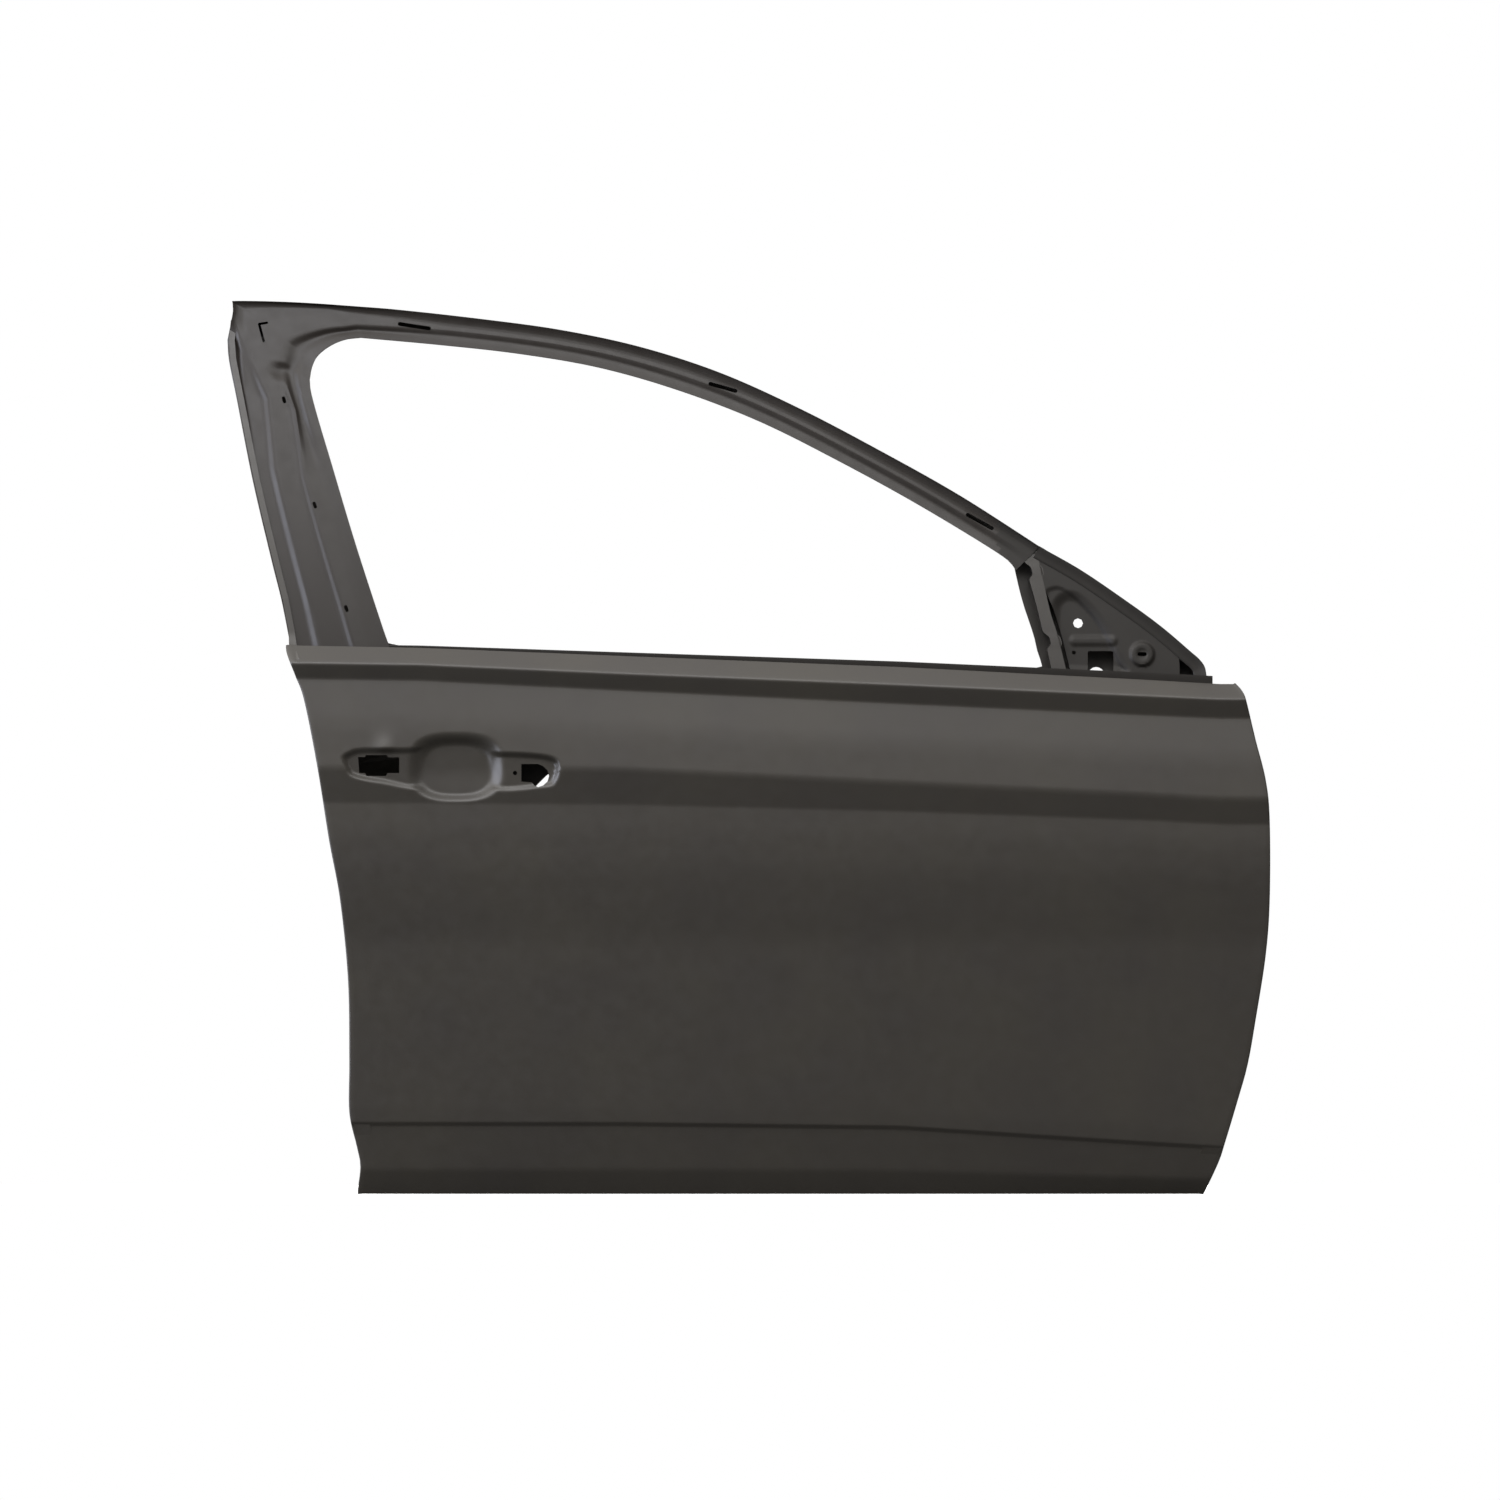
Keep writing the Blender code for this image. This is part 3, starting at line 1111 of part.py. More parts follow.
def pad_middle(wall_shares, side, centre_z):
    """Middle of a reinforcement of a side wall, on the wall's cavity face."""
    fold = fold_place(wall_shares, centre_z)
    depth = behind_skin(fold, centre_z, SLOPE_GAP) + PAD_SETBACK + PAD_DEPTH / 2.0
    return Vector((wall_place(wall_shares, centre_z, depth, side), depth, centre_z))


def box_mesh(centre, size):
    mesh = bmesh.new()
    bmesh.ops.create_cube(mesh, size=1.0)
    bmesh.ops.scale(mesh, vec=size, verts=mesh.verts[:])
    bmesh.ops.translate(mesh, vec=centre, verts=mesh.verts[:])
    return mesh


def cut_through(model, name, mesh, parts):
    """Cut the same hole in several parts."""
    cutter = add_cutter(model, name, mesh)
    for part in parts:
        cut(part, cutter)


def build_hinge_fixings(model, inner_panel):
    """Hinge and check link reinforcements inside the front wall, their bolt holes and weld nuts."""
    reach = Vector((CUT_OVERRUN, 0.0, 0.0))
    number = 1
    for name, share in (("hinge_reinforcement_upper", HINGE_UPPER_SHARE),
                        ("hinge_reinforcement_lower", HINGE_LOWER_SHARE)):
        centre_z = share * DOOR_HEIGHT
        plate = wall_plate(model, name, FRONT_WALL_SHARES, 1.0, centre_z, HINGE_PAD_HEIGHT, HINGE_SHEET)
        middle = pad_middle(FRONT_WALL_SHARES, 1.0, centre_z)
        bolts = [middle + Vector((0.0, 0.0, rise)) for rise in (-BOLT_SPACING / 2.0, BOLT_SPACING / 2.0)]
        seats = [surface_hit(plate, bolt - reach, reach.normalized()) for bolt in bolts]
        for bolt, (seat, normal) in zip(bolts, seats):
            nut = rod_mesh(seat + normal * SLOPE_GAP, seat + normal * (SLOPE_GAP + NUT_HEIGHT),
                           NUT_ACROSS_FLATS / math.cos(math.pi / NUT_SIDES), NUT_SIDES)
            nut = add_object(model, f"weld_nut_{number}", nut, "weld_nut")
            hole = rod_mesh(bolt - reach, bolt + reach, BOLT_HOLE_DIAMETER, HOLE_POINTS)
            cut_through(model, f"hinge_bolt_hole_{number}", hole, (plate, inner_panel, nut))
            number += 1
    centre_z = check_link_height()
    plate = wall_plate(model, "check_link_reinforcement", FRONT_WALL_SHARES, 1.0, centre_z, CHECK_PAD_HEIGHT,
                       STIFF_SHEET)
    slot = box_mesh(pad_middle(FRONT_WALL_SHARES, 1.0, centre_z),
                    (2.0 * CUT_OVERRUN, CHECK_SLOT_WIDTH, CHECK_SLOT_HEIGHT))
    cut_through(model, "check_link_slot", slot, (plate, inner_panel))


def build_latch_fixing(model, inner_panel):
    """Latch reinforcement inside the rear wall, with the striker's mouth and two screw holes."""
    centre_z = LATCH_SHARE * DOOR_HEIGHT
    plate = wall_plate(model, "latch_reinforcement", REAR_WALL_SHARES, -1.0, centre_z, LATCH_PAD_HEIGHT,
                       STIFF_SHEET)
    middle = pad_middle(REAR_WALL_SHARES, -1.0, centre_z)
    mouth = box_mesh(middle, (2.0 * CUT_OVERRUN, LATCH_MOUTH_DEPTH, LATCH_MOUTH_HEIGHT))
    cut_through(model, "latch_mouth", mouth, (plate, inner_panel))
    reach = Vector((CUT_OVERRUN, 0.0, 0.0))
    for number, rise in enumerate((-LATCH_MOUTH_HEIGHT, LATCH_MOUTH_HEIGHT)):
        spot = middle + Vector((0.0, 0.0, rise))
        hole = rod_mesh(spot - reach, spot + reach, PIERCED_HOLE_DIAMETER, HOLE_POINTS // 2)
        cut_through(model, f"latch_screw_hole_{number + 1}", hole, (plate, inner_panel))


def build_guide_rails(model):
    """Channels that guide the glass inside the door, footed at both ends on the inner panel."""
    half = RAIL_WIDTH / 2.0
    for name, shares in (("guide_rail_rear", RAIL_REAR_SHARES), ("guide_rail_front", RAIL_FRONT_SHARES)):
        x, top = at(shares)
        bottom = top - RAIL_LENGTH_SHARE * DOOR_HEIGHT
        web = frame_depth(x, belt_height(x)) + RAIL_SETBACK_SHARE * FRAME_DEPTH + RAIL_DEPTH
        mesh = bmesh.new()
        rings = []
        for side, inboard in ((-half, -RAIL_DEPTH), (-half, 0.0), (half, 0.0), (half, -RAIL_DEPTH)):
            rings.append([mesh.verts.new((x + side, web + inboard, z))
                          for z in np.linspace(top, bottom, RAIL_STATIONS)])
        loft(mesh, rings, False)
        for end, way in ((0, 1.0), (-1, -1.0)):
            rows = []
            for ring in rings[1:3]:
                place, _, z = ring[end].co
                row = [ring[end]]
                for feet in (1.0, 2.0):
                    level = z + way * feet * RAIL_FOOT
                    seat = inner_depth(place, level) - RAIL_SEAT_GAP - STIFF_SHEET
                    row.append(mesh.verts.new((place, seat, level)))
                rows.append(row)
            loft(mesh, rows, False)
        add_sheet(model, name, mesh, STIFF_SHEET)


def row_lines(first_row, last_row, start, end):
    """Feature lines of the skin between two places along the door, for a sheet that lies behind it."""
    return [([np.array((x, skin_rows(x)[0][row])) for x in np.linspace(start, end, HOLE_POINTS)], False, 0.0)
            for row in range(first_row, last_row)]


def build_handle_bracket(model):
    """C-shaped plate behind the skin round the handle recess."""
    left, right = HANDLE_PLATE_ENDS_SHARES
    low, high = HANDLE_PLATE_HEIGHTS_SHARES
    low_in, high_in = HANDLE_PLATE_CUT_HEIGHTS_SHARES
    right_in = HANDLE_PLATE_CUT_END_SHARE
    outline = points_of([(left, low), (right, low), (right, high), (left, high), (left, high_in),
                         (right_in, high_in), (right_in, low_in), (left, low_in)])
    rows = len(SKIN_ROW_SHARES)
    start, end = left * DOOR_LENGTH - CUT_OVERRUN, right * DOOR_LENGTH + CUT_OVERRUN
    lines = row_lines(rows // 2, rows - 1, start, end)
    mesh = pressed_sheet(outline, [], lines, lambda x, z: behind_skin(x, z, SLOPE_GAP))
    return add_sheet(model, "handle_reinforcement", mesh, STIFF_SHEET)


def build_damping_pads(model):
    """Mastic sheets stuck to the inside of the skin, between it and the crash beam."""
    half_length, half_height = PAD_LENGTH / 2.0, PAD_HEIGHT / 2.0
    reach = half_length + CUT_OVERRUN
    for number, shares in enumerate(DAMPING_PAD_SHARES):
        centre = at(shares)
        outline = round_box(centre, half_length, half_height, PAD_CORNER)
        lines = row_lines(1, len(SKIN_ROW_SHARES) // 2 + 2, centre[0] - reach, centre[0] + reach)
        mesh = pressed_sheet(outline, [], lines, lambda x, z: behind_skin(x, z, SEAT_GAP))
        add_sheet(model, f"damping_pad_{number + 1}", mesh, PAD_THICKNESS, "mastic")


def main():
    clear_scene()
    root = bpy.data.objects.new(PART_NAME, None)
    model = {"parts": make_collection(PART_NAME), "cutters": make_collection("cutters"), "root": root}
    model["parts"].objects.link(root)
    model["materials"] = {
        "primer": make_material("primer", PRIMER),
        "primer_light": make_material("primer_light", PRIMER_LIGHT),
        "weld_nut": make_material("weld_nut", WELD_NUT_STEEL),
        "mastic": make_material("mastic", MASTIC),
    }
    build_outer_panel(model)
    inner_panel = build_inner_panel(model)
    middle = pad_middle(FRONT_WALL_SHARES, 1.0, HINGE_UPPER_SHARE * DOOR_HEIGHT)
    reach = Vector((CUT_OVERRUN, 0.0, 0.0))
    hinge_seat, _ = surface_hit(inner_panel, middle + reach, -reach.normalized())
    build_frame_outer(model)
    build_mirror_reinforcement(model)
    build_front_sash(model)
    build_belt_reinforcements(model)
    build_crash_beam(model)
    build_hinge_fixings(model, inner_panel)
    build_latch_fixing(model, inner_panel)
    build_guide_rails(model)
    build_handle_bracket(model)
    build_damping_pads(model)
    root.location = -hinge_seat


main()
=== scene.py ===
"""Visual model of a bare front door shell: primed steel pressings, welded and hemmed.

Pieces are drawn in the door's own plan: x along the car from the rear edge of the door, z up from its lower
edge, and y inboard from the skin's most outboard line. PLAN_ORIGIN moves that plan to the frame's origin,
which lies where the upper hinge is bolted on.
"""

import math

import bmesh
import bpy
import numpy as np
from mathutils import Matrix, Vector


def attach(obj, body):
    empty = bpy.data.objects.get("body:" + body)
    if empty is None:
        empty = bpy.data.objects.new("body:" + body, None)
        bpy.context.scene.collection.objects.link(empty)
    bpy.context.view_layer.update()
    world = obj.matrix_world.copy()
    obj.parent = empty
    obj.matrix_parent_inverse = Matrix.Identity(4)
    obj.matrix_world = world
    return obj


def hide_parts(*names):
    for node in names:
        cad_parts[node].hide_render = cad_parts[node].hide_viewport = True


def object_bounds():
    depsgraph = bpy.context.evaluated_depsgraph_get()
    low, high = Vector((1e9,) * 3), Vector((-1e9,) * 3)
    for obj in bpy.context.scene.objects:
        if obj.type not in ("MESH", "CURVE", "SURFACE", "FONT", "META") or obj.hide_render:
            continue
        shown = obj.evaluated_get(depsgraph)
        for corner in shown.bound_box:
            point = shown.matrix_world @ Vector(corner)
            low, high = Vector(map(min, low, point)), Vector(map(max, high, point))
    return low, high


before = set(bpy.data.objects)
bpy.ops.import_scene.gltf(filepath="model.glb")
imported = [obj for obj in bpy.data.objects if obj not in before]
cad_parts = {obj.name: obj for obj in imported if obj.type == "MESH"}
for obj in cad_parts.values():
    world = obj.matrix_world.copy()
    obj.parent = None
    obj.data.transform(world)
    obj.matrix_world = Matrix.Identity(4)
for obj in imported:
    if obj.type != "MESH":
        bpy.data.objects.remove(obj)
CAD_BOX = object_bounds()

bl_info = {
    "name": "Car door shell",
    "version": (1, 0, 0),
    "blender": (4, 5, 0),
    "location": "View3D > Sidebar > Door shell",
    "description": "Builds the pressings of a front door shell and its stage",
    "category": "Object",
}

PLAN_ORIGIN = np.array((1.1785183, 0.0435398, 0.46547))
LENGTH = 1.226
HEIGHT = 1.046
MM = 0.001

# Plan points below are ten-thousandths of LENGTH and HEIGHT; other places are shares of them

# Feature lines of the skin: heights at these stations along the door, depth in the section, half width of
# the line's rounding in millimetres, and spaces between the line and the next one up
STATIONS = (0.053, 0.187, 0.378, 0.645, 0.884, 0.950)
SKIN_ROWS = (
    ((0.0,) * 6, 0.76, 0.0, 6),
    ((0.027, 0.027, 0.027, 0.026, 0.018, 0.016), 0.49, 4.0, 6),
    ((0.076, 0.076, 0.076, 0.072, 0.054, 0.0495), 0.36, 1.2, 3),
    ((0.0803, 0.0803, 0.0803, 0.0763, 0.0583, 0.0538), 0.28, 1.2, 4),
    ((0.096, 0.096, 0.096, 0.0915, 0.0735, 0.069), 0.265, 4.0, 8),
    ((0.183, 0.183, 0.183, 0.183, 0.178, 0.1745), 0.25, 20.0, 8),
    ((0.284,) * 6, 0.235, 12.0, 5),
    ((0.32,) * 6, 0.15, 14.0, 5),
    ((0.365, 0.365, 0.365, 0.3625, 0.36, 0.358), 0.075, 16.0, 5),
    ((0.405, 0.405, 0.4045, 0.4, 0.394, 0.391), 0.11, 12.0, 10),
    ((0.438, 0.4375, 0.436, 0.4285, 0.4185, 0.414), 0.19, 2.2, 24),
    ((0.477, 0.4765, 0.4755, 0.460, 0.4465, 0.442), 0.0, 4.5, 26),
    ((0.526, 0.5245, 0.518, 0.5035, 0.490, 0.4865), 0.25, 14.0, 10),
    ((0.577, 0.575, 0.564, 0.549, 0.536, 0.5325), 0.62, 2.0, 6),
    ((0.594, 0.592, 0.582, 0.5695, 0.557, 0.5535), 0.41, 2.6, 6),
    ((0.614, 0.611, 0.602, 0.5895, 0.575, 0.5705), 1.0, 0.0, 0),
)

# Runs of the skin's columns, closest at the handle: share where each starts, and columns; finest row gap
COLUMN_RUNS = ((0.0, 3), (0.015, 137), (0.30, 47), (0.985, 3))
ROW_GAP = 1.6 * MM

# Edges of the skin from the belt down
REAR_EDGE = (
    (592, 6200), (595, 6060), (677, 5805), (763, 5526), (887, 4800), (1002, 3960), (1107, 3290),
    (1183, 2390), (1195, 1500), (1195, 920), (1265, 540), (1300, 310), (1269, 0),
)
FRONT_EDGE = (
    (9600, 5750), (9660, 5700), (9723, 5615), (9761, 5503), (9847, 5080), (9943, 4630), (9981, 4180),
    (9981, 3290), (9943, 2670), (9847, 1950), (9771, 1450), (9676, 1050), (9561, 600), (9494, 360),
    (9351, 0),
)

# Recess for the handle: an oval cup between two flat wings. Shares of the cup's half size that its wall takes
# at the bottom and at the top, and share of its depth that the floor has at the bottom
CUP_CENTRE = (2214, 4776)
CUP_ROUNDNESS = 2.8
CUP_WALL = (0.24, 0.46)
CUP_LOW_DEPTH = 0.68
WING_LAP = 1.0 * MM
WING_SLOPE = 8.0 * MM
WING_REAR = (
    (1900, 5000), (1679, 4989), (1317, 4989), (1180, 4945), (1126, 4880), (1160, 4740), (1240, 4653),
    (1500, 4590), (1900, 4545),
)
WING_FRONT = (
    (2540, 4950), (2850, 4940), (3063, 4915), (3170, 4870), (3206, 4780), (3168, 4609), (3063, 4545),
    (2540, 4530),
)
GRIP_OPENING = (
    (1279, 4888), (1345, 4888), (1350, 4910), (1555, 4910), (1565, 4885), (1672, 4885), (1672, 4709),
    (1560, 4709), (1545, 4676), (1360, 4676), (1345, 4709), (1290, 4709),
)
LOCK_OPENING = (
    (2837, 4810), (2997, 4810), (3044, 4787), (3087, 4737), (3102, 4676), (3087, 4614), (3044, 4569),
    (2997, 4552), (2963, 4569), (2939, 4603), (2837, 4614),
)
SCREW_HOLE = (2777, 4709)
SCREW_HOLE_RADIUS = 2.4 * MM
LOCK_BACKING = (
    (2710, 4944), (3187, 4944), (3187, 4776), (3073, 4676), (2999, 4590), (2901, 4463), (2710, 4463),
)
LOCK_BACKING_DEPTHS = (20.5 * MM, 46 * MM)
LOCK_BACKING_SHEET = 1.2 * MM

# Soft press mark above the handle: its middle, and its depth, half length and half height
PRESS_MARK = (1537, 4955)
PRESS_MARK_SIZE = (3.2 * MM, 11 * MM, 15 * MM)

# Window frame's outer face: its depth at the belt, its lean there, and what the lean gains up to the top
FRAME_INSET = 0.046
FRAME_LEAN = 0.23
FRAME_LEAN_GROWTH = 0.19

# Rim over the mirror corner: outer edge from the belt up, and section in millimetres across and inboard
SLOPE_EDGE = (
    (9380, 5800), (9362, 5900), (9310, 5985), (9237, 6060), (8931, 6365), (8550, 6689), (8168, 6991),
    (7786, 7245),
)
SLOPE_RIM_SECTION = (
    (0.0, 4.5), (0.0, -4.2), (2.0, -3.4), (4.5, -2.2), (7.0, -1.1), (9.5, -0.3), (12.0, 0.2), (14.0, 0.6),
    (15.0, 1.4),
)

# Window frame, outer edge and window edge, in matching runs: header, corner, pillar
HEADER_OUTER = (
    (7786, 7245), (7023, 7819), (6260, 8322), (5496, 8792), (4733, 9195), (3969, 9485), (3206, 9676),
    (2443, 9799), (1679, 9899), (1200, 9942),
)
HEADER_INNER = (
    (7560, 6980), (7405, 7160), (6641, 7707), (5878, 8199), (5115, 8647), (4351, 8993), (3588, 9251),
    (2824, 9407), (2061, 9508), (1298, 9590),
)
CORNER_OUTER = ((1200, 9942), (601, 9985), (115, 10000), (72, 9983), (72, 9866), (22, 9560))
CORNER_INNER = ((1298, 9590), (1150, 9568), (1010, 9500), (890, 9390), (835, 9268), (811, 9120))
PILLAR_OUTER = (
    (22, 9560), (38, 9330), (115, 8881), (267, 7986), (448, 7092), (544, 6644), (620, 6197), (639, 6063),
)
PILLAR_INNER = (
    (811, 9120), (825, 8971), (897, 8658), (1012, 8210), (1241, 7315), (1489, 6420), (1565, 6163),
    (1594, 6063),
)

# Sections across the frame from its outer edge to the window: share across, and millimetres inboard
FRONT_END_SECTION = (
    (0.0, -4.5), (0.04, -3.2), (0.08, -2.0), (0.14, -1.0), (0.22, -0.2), (0.32, 0.0), (0.45, 0.3),
    (0.5, 0.5), (0.58, 0.7), (0.66, 0.9), (0.72, 1.0), (0.84, 1.1), (1.0, 1.2),
)
HEADER_SECTION = (
    (0.0, -7.0), (0.05, -5.4), (0.1, -4.0), (0.17, -2.4), (0.27, -0.8), (0.38, 0.0), (0.45, 0.0),
    (0.5, 0.1), (0.58, 1.2), (0.66, 2.6), (0.72, 3.0), (0.84, 2.8), (1.0, 2.0),
)
CORNER_SECTION = (
    (0.0, -6.0), (0.02, -4.4), (0.04, -3.0), (0.07, -1.6), (0.11, -0.5), (0.16, 0.0), (0.4, 0.0),
    (0.62, 0.1), (0.69, 1.0), (0.77, 4.4), (0.82, 4.8), (0.9, 3.0), (1.0, 2.0),
)
PILLAR_HEAD_SECTION = (
    (0.0, 9.0), (0.06, 7.4), (0.12, 6.0), (0.16, 2.0), (0.22, 0.4), (0.3, 0.0), (0.45, 0.0),
    (0.6, 0.2), (0.68, 1.4), (0.75, 6.0), (0.8, 6.0), (0.87, 0.8), (1.0, 0.6),
)
PILLAR_TOP_SECTION = (
    (0.0, 11.5), (0.06, 7.6), (0.12, 4.0), (0.16, 3.8), (0.33, 3.6), (0.41, -0.4), (0.5, 0.2),
    (0.66, 0.8), (0.73, -2.2), (0.76, 2.2), (0.8, 3.6), (0.87, -0.2), (1.0, 0.4),
)
PILLAR_SECTION = (
    (0.0, 3.2), (0.06, 3.6), (0.12, 3.8), (0.16, 3.8), (0.22, 3.8), (0.295, -0.6), (0.42, 0.2),
    (0.565, 0.6), (0.63, -1.9), (0.7, -1.0), (0.8, 0.8), (0.9, 1.4), (1.0, 0.6),
)
PILLAR_FOOT_SECTION = (
    *PILLAR_SECTION[:5], (0.29, -0.6), (0.42, 0.2), (0.585, 0.6), (0.645, -2.6), (0.71, -1.0),
    *PILLAR_SECTION[10:],
)

# Runs of the frame with their numbers of points, and sections at points counted from the header's front end
FRAME_RUNS = (
    (HEADER_OUTER, HEADER_INNER, 110), (CORNER_OUTER, CORNER_INNER, 60), (PILLAR_OUTER, PILLAR_INNER, 90),
)
FRAME_STATIONS = (
    (0, FRONT_END_SECTION), (8, HEADER_SECTION), (95, HEADER_SECTION), (118, CORNER_SECTION),
    (159, CORNER_SECTION), (169, PILLAR_HEAD_SECTION), (181, PILLAR_TOP_SECTION), (203, PILLAR_SECTION),
    (257, PILLAR_FOOT_SECTION),
)

# Share of the length from which the frame carries the mirror corner's duller and darker coat, painted shade
FRAME_SHADE_FROM = 0.742

# Steps by which the frame's outer edge is turned inboard as a lip
LIP_STEPS = (1.2 * MM, 4.5 * MM)

# Dent at the end of the pillar's channel: its middle, depth, radius and slope, and length over height
CHANNEL_END = (525, 9210)
CHANNEL_END_SIZE = (4.0 * MM, 12 * MM, 10 * MM, 1.15)

# Slots in the frame: both ends, and the width in millimetres
FRAME_SLOTS = (
    ((1670, 9742), (1950, 9692), 4.6), ((4640, 9070), (4880, 8990), 4.6), ((7100, 7600), (7330, 7450), 4.6),
    ((325, 9742), (400, 9756), 2.8), ((325, 9742), (368, 9550), 3.0), ((560, 8910), (570, 8870), 4.0),
    ((855, 7730), (866, 7690), 4.0), ((1158, 6570), (1170, 6530), 4.0),
)

# Mirror corner: the plate's depth behind the frame's outer face, its thickness, rear and front edge
PLATE_INSET = 1.7 * MM
PLATE_SHEET = 1.6 * MM
PLATE_LEFT = (
    (8083, 5839), (7992, 6264), (7930, 6510), (7873, 6667), (7806, 6868), (7749, 7092), (7692, 7248),
)
PLATE_RIGHT = (
    (9123, 5783), (9114, 5995), (9047, 6163), (8551, 6622), (8121, 6969), (7864, 7192), (7787, 7248),
)
RECESS = (
    (7900, 5800), (7870, 6350), (7830, 6720), (7900, 6800), (8000, 6800), (8140, 6690), (8330, 6460),
    (8450, 6230), (8560, 5960), (8600, 5800),
)
DEEP_RECESS = (
    (7883, 5794), (7873, 6420), (7902, 6644), (8016, 6756), (8159, 6745), (8303, 6611), (8446, 6387),
    (8551, 6130), (8627, 5794),
)

# Depth and slope of the recesses in millimetres
RECESSES = ((RECESS, 2.0, 6), (DEEP_RECESS, 5.0, 15))

# Boss: depth, radius and slope of its rings, half the run and the width of its slot
MIRROR_BOSS = (8765, 6040)
BOSS_RINGS = ((-3.4 * MM, 16.0 * MM, 4.5 * MM), (1.2 * MM, 7.5 * MM, 3 * MM))
BOSS_SLOT = (3.0 * MM, 4.7 * MM)

# Round holes with their diameter and the square opening with its length and height, in millimetres
MIRROR_HOLES = ((8154, 6387, 11.7), (8113, 6057, 4.7))
MIRROR_WINDOW = (8368, 5950, 30.2, 26.0)
SQUARENESS = 14.0

# Hole in the inner panel, moved rearwards and down so that its top shows low in the square opening
MIRROR_BACK_HOLE = (8360, 5951)
MIRROR_BACK_REACH = 12 * MM
MIRROR_BACK_SHIFT = (5 * MM, 15 * MM)

# A rib or scallop is whole within 0.3 slopes of its line, and ends at this many slopes
RIB_REACH = 1.3
MIRROR_RIB = ((8120, 6190), (8480, 6190))
RIB_HEIGHT = 2.0 * MM
RIB_SLOPE = 6 * MM

# Front sash, from its outer edge to the window, with a step inboard at its inner line and two scallops
SASH_OUTER = (
    (7768, 7159), (7802, 6957), (7845, 6734), (7868, 6611), (7902, 6454), (7954, 6264), (8040, 5861),
)
SASH_INNER = (
    (7615, 7170), (7682, 6901), (7735, 6678), (7768, 6532), (7802, 6365), (7845, 6163), (7902, 5861),
)
SASH_WINDOW = (
    (7539, 7047), (7595, 6760), (7640, 6570), (7673, 6454), (7722, 6281), (7777, 6051), (7821, 5861),
)
SASH_DEPTHS = (1.6, 1.2, 20.0, 19.0)
SASH_WALL_LEAN = 1.5 * MM
SCALLOPS = (0.6975, 0.6190)
SCALLOP_DEPTH = 6.0 * MM
SCALLOP_SLOPE = 9 * MM

# Belt strip: ends, gap to the skin, the lip's height at the rear and growth to the front in millimetres, and
# section: share of the lip above the skin's edge or millimetres below it, and millimetres inboard
BELT_STRIP_ENDS = (0.1575, 0.9437)
BELT_STRIP_GAP = 0.9 * MM
BELT_LIP = (2.5, 6.5)
BELT_STRIP_SECTION = (
    (1.0, 0.0), (0.6, -0.4), (0.0, 0.0), (-17.0, 0.0), (-19.0, 0.6), (-25.0, 8.4), (-27.0, 9.0),
    (-51.0, 9.0), (-52.0, 9.4),
)

# Window edge of the inner panel: margin outside the frame's, reach, lowest height, longest edge left whole
WINDOW_MARGIN = 4.0 * MM
WINDOW_REACH = 12 * MM
WINDOW_FOOT = 0.625
LONG_EDGE = 12 * MM

# Finishes: material, roughness, mottle, size and depth of the relief in millimetres, metallic, specular level
FINISHES = {
    # Electrocoat primer, dipped and baked: satin, dark taupe grey, with a faint orange peel. The real peel
    # is about 1 mm; it is drawn at 3 mm so that it shows
    "primer": ("electrocoat_primer", 0.40, 0.03, 3.0, 0.02, 0.0, 0.5),
    # The same primer on the folded strips of the window frame: duller, and darker as painted shade
    "frame_coat_shaded": ("dull_primer_with_painted_shade", 0.40, 0.05, 3.0, 0.02, 0.0, 0.34),
    # Primer of the mirror corner, belt strip and lock's tray: the door's dullest coat, darker as painted
    # shade
    "shaded_primer": ("flat_primer_with_painted_shade", 0.50, 0.06, 3.0, 0.02, 0.0, 0.22),
    # The same primer over the front sash: a little darker as painted shade, and less shiny
    "primer_light": ("sash_primer_with_painted_shade", 0.46, 0.06, 3.0, 0.03, 0.0, 0.5),
    # Zinc-plated steel of the weld nuts: bright, slightly matt metal
    "zinc": ("zinc_plated_steel", 0.38, 0.05, 1.5, 0.02, 1.0, 0.5),
    # Baked damping mastic: dull, nearly black, with a grainy skin
    "mastic": ("damping_mastic", 0.80, 0.10, 2.0, 0.25, 0.0, 0.3),
}
CLOUD_SIZE = 90 * MM
DUST_SIZE = 14 * MM

# The photo's width and the plan's origin in it, in pixels; millimetres of the door in a pixel and of the
# camera's sensor; the camera's distance in metres
PHOTO_WIDTH = 1500
PHOTO_ORIGIN = (224, 1194)
PIXEL_MM = 1.17
SENSOR_MM = 36.0
CAMERA_DISTANCE = 80.0

# Floor: its middle along the door, half width, gap under the door, glow to the camera, colour to the door
FLOOR_MIDDLE = -0.57
FLOOR_HALF = 1.7
FLOOR_GAP = 0.5 * MM
FLOOR_GLOW = 0.72
FLOOR_FROM_DOOR = "#6A6A68"
WHITE = (1.0, 1.0, 1.0, 1.0)

# Soft lights: place, the place it faces, width and height, watts, colour, and whether dull surfaces take it
LIGHTS = (
    ("overhead_softbox", (-0.57, -1.15, 1.55), (-0.57, 0.0, 0.1), (2.2, 0.8), 20.0, "#FFFFFF", True),
    ("back_softbox", (-0.6, 2.6, 1.3), (-0.6, 0.1, 0.1), (2.4, 1.6), 90.0, "#FFFFFF", True),
    ("rear_softbox", (-3.3, -0.9, 0.45), (-1.0, 0.12, 0.3), (2.0, 2.2), 88.0, "#E6ECFF", False),
    ("corner_softbox", (-1.52, -1.05, 1.75), (-1.15, 0.12, 0.5), (0.6, 0.7), 4.0, "#E6ECFF", True),
)

# Brightness of the studio from straight below to straight above, and from its rear to its front end
SKY_LEVELS = (
    (0.0, 0.12), (0.4, 0.15), (0.5, 0.17), (0.58, 0.25), (0.7, 0.6), (0.82, 0.84), (0.94, 1.25), (1.0, 1.3),
)
SIDE_LEVELS = ((0.0, 1.0), (0.14, 1.0), (0.40, 0.38), (0.50, 0.31), (0.62, 0.27), (1.0, 0.14))

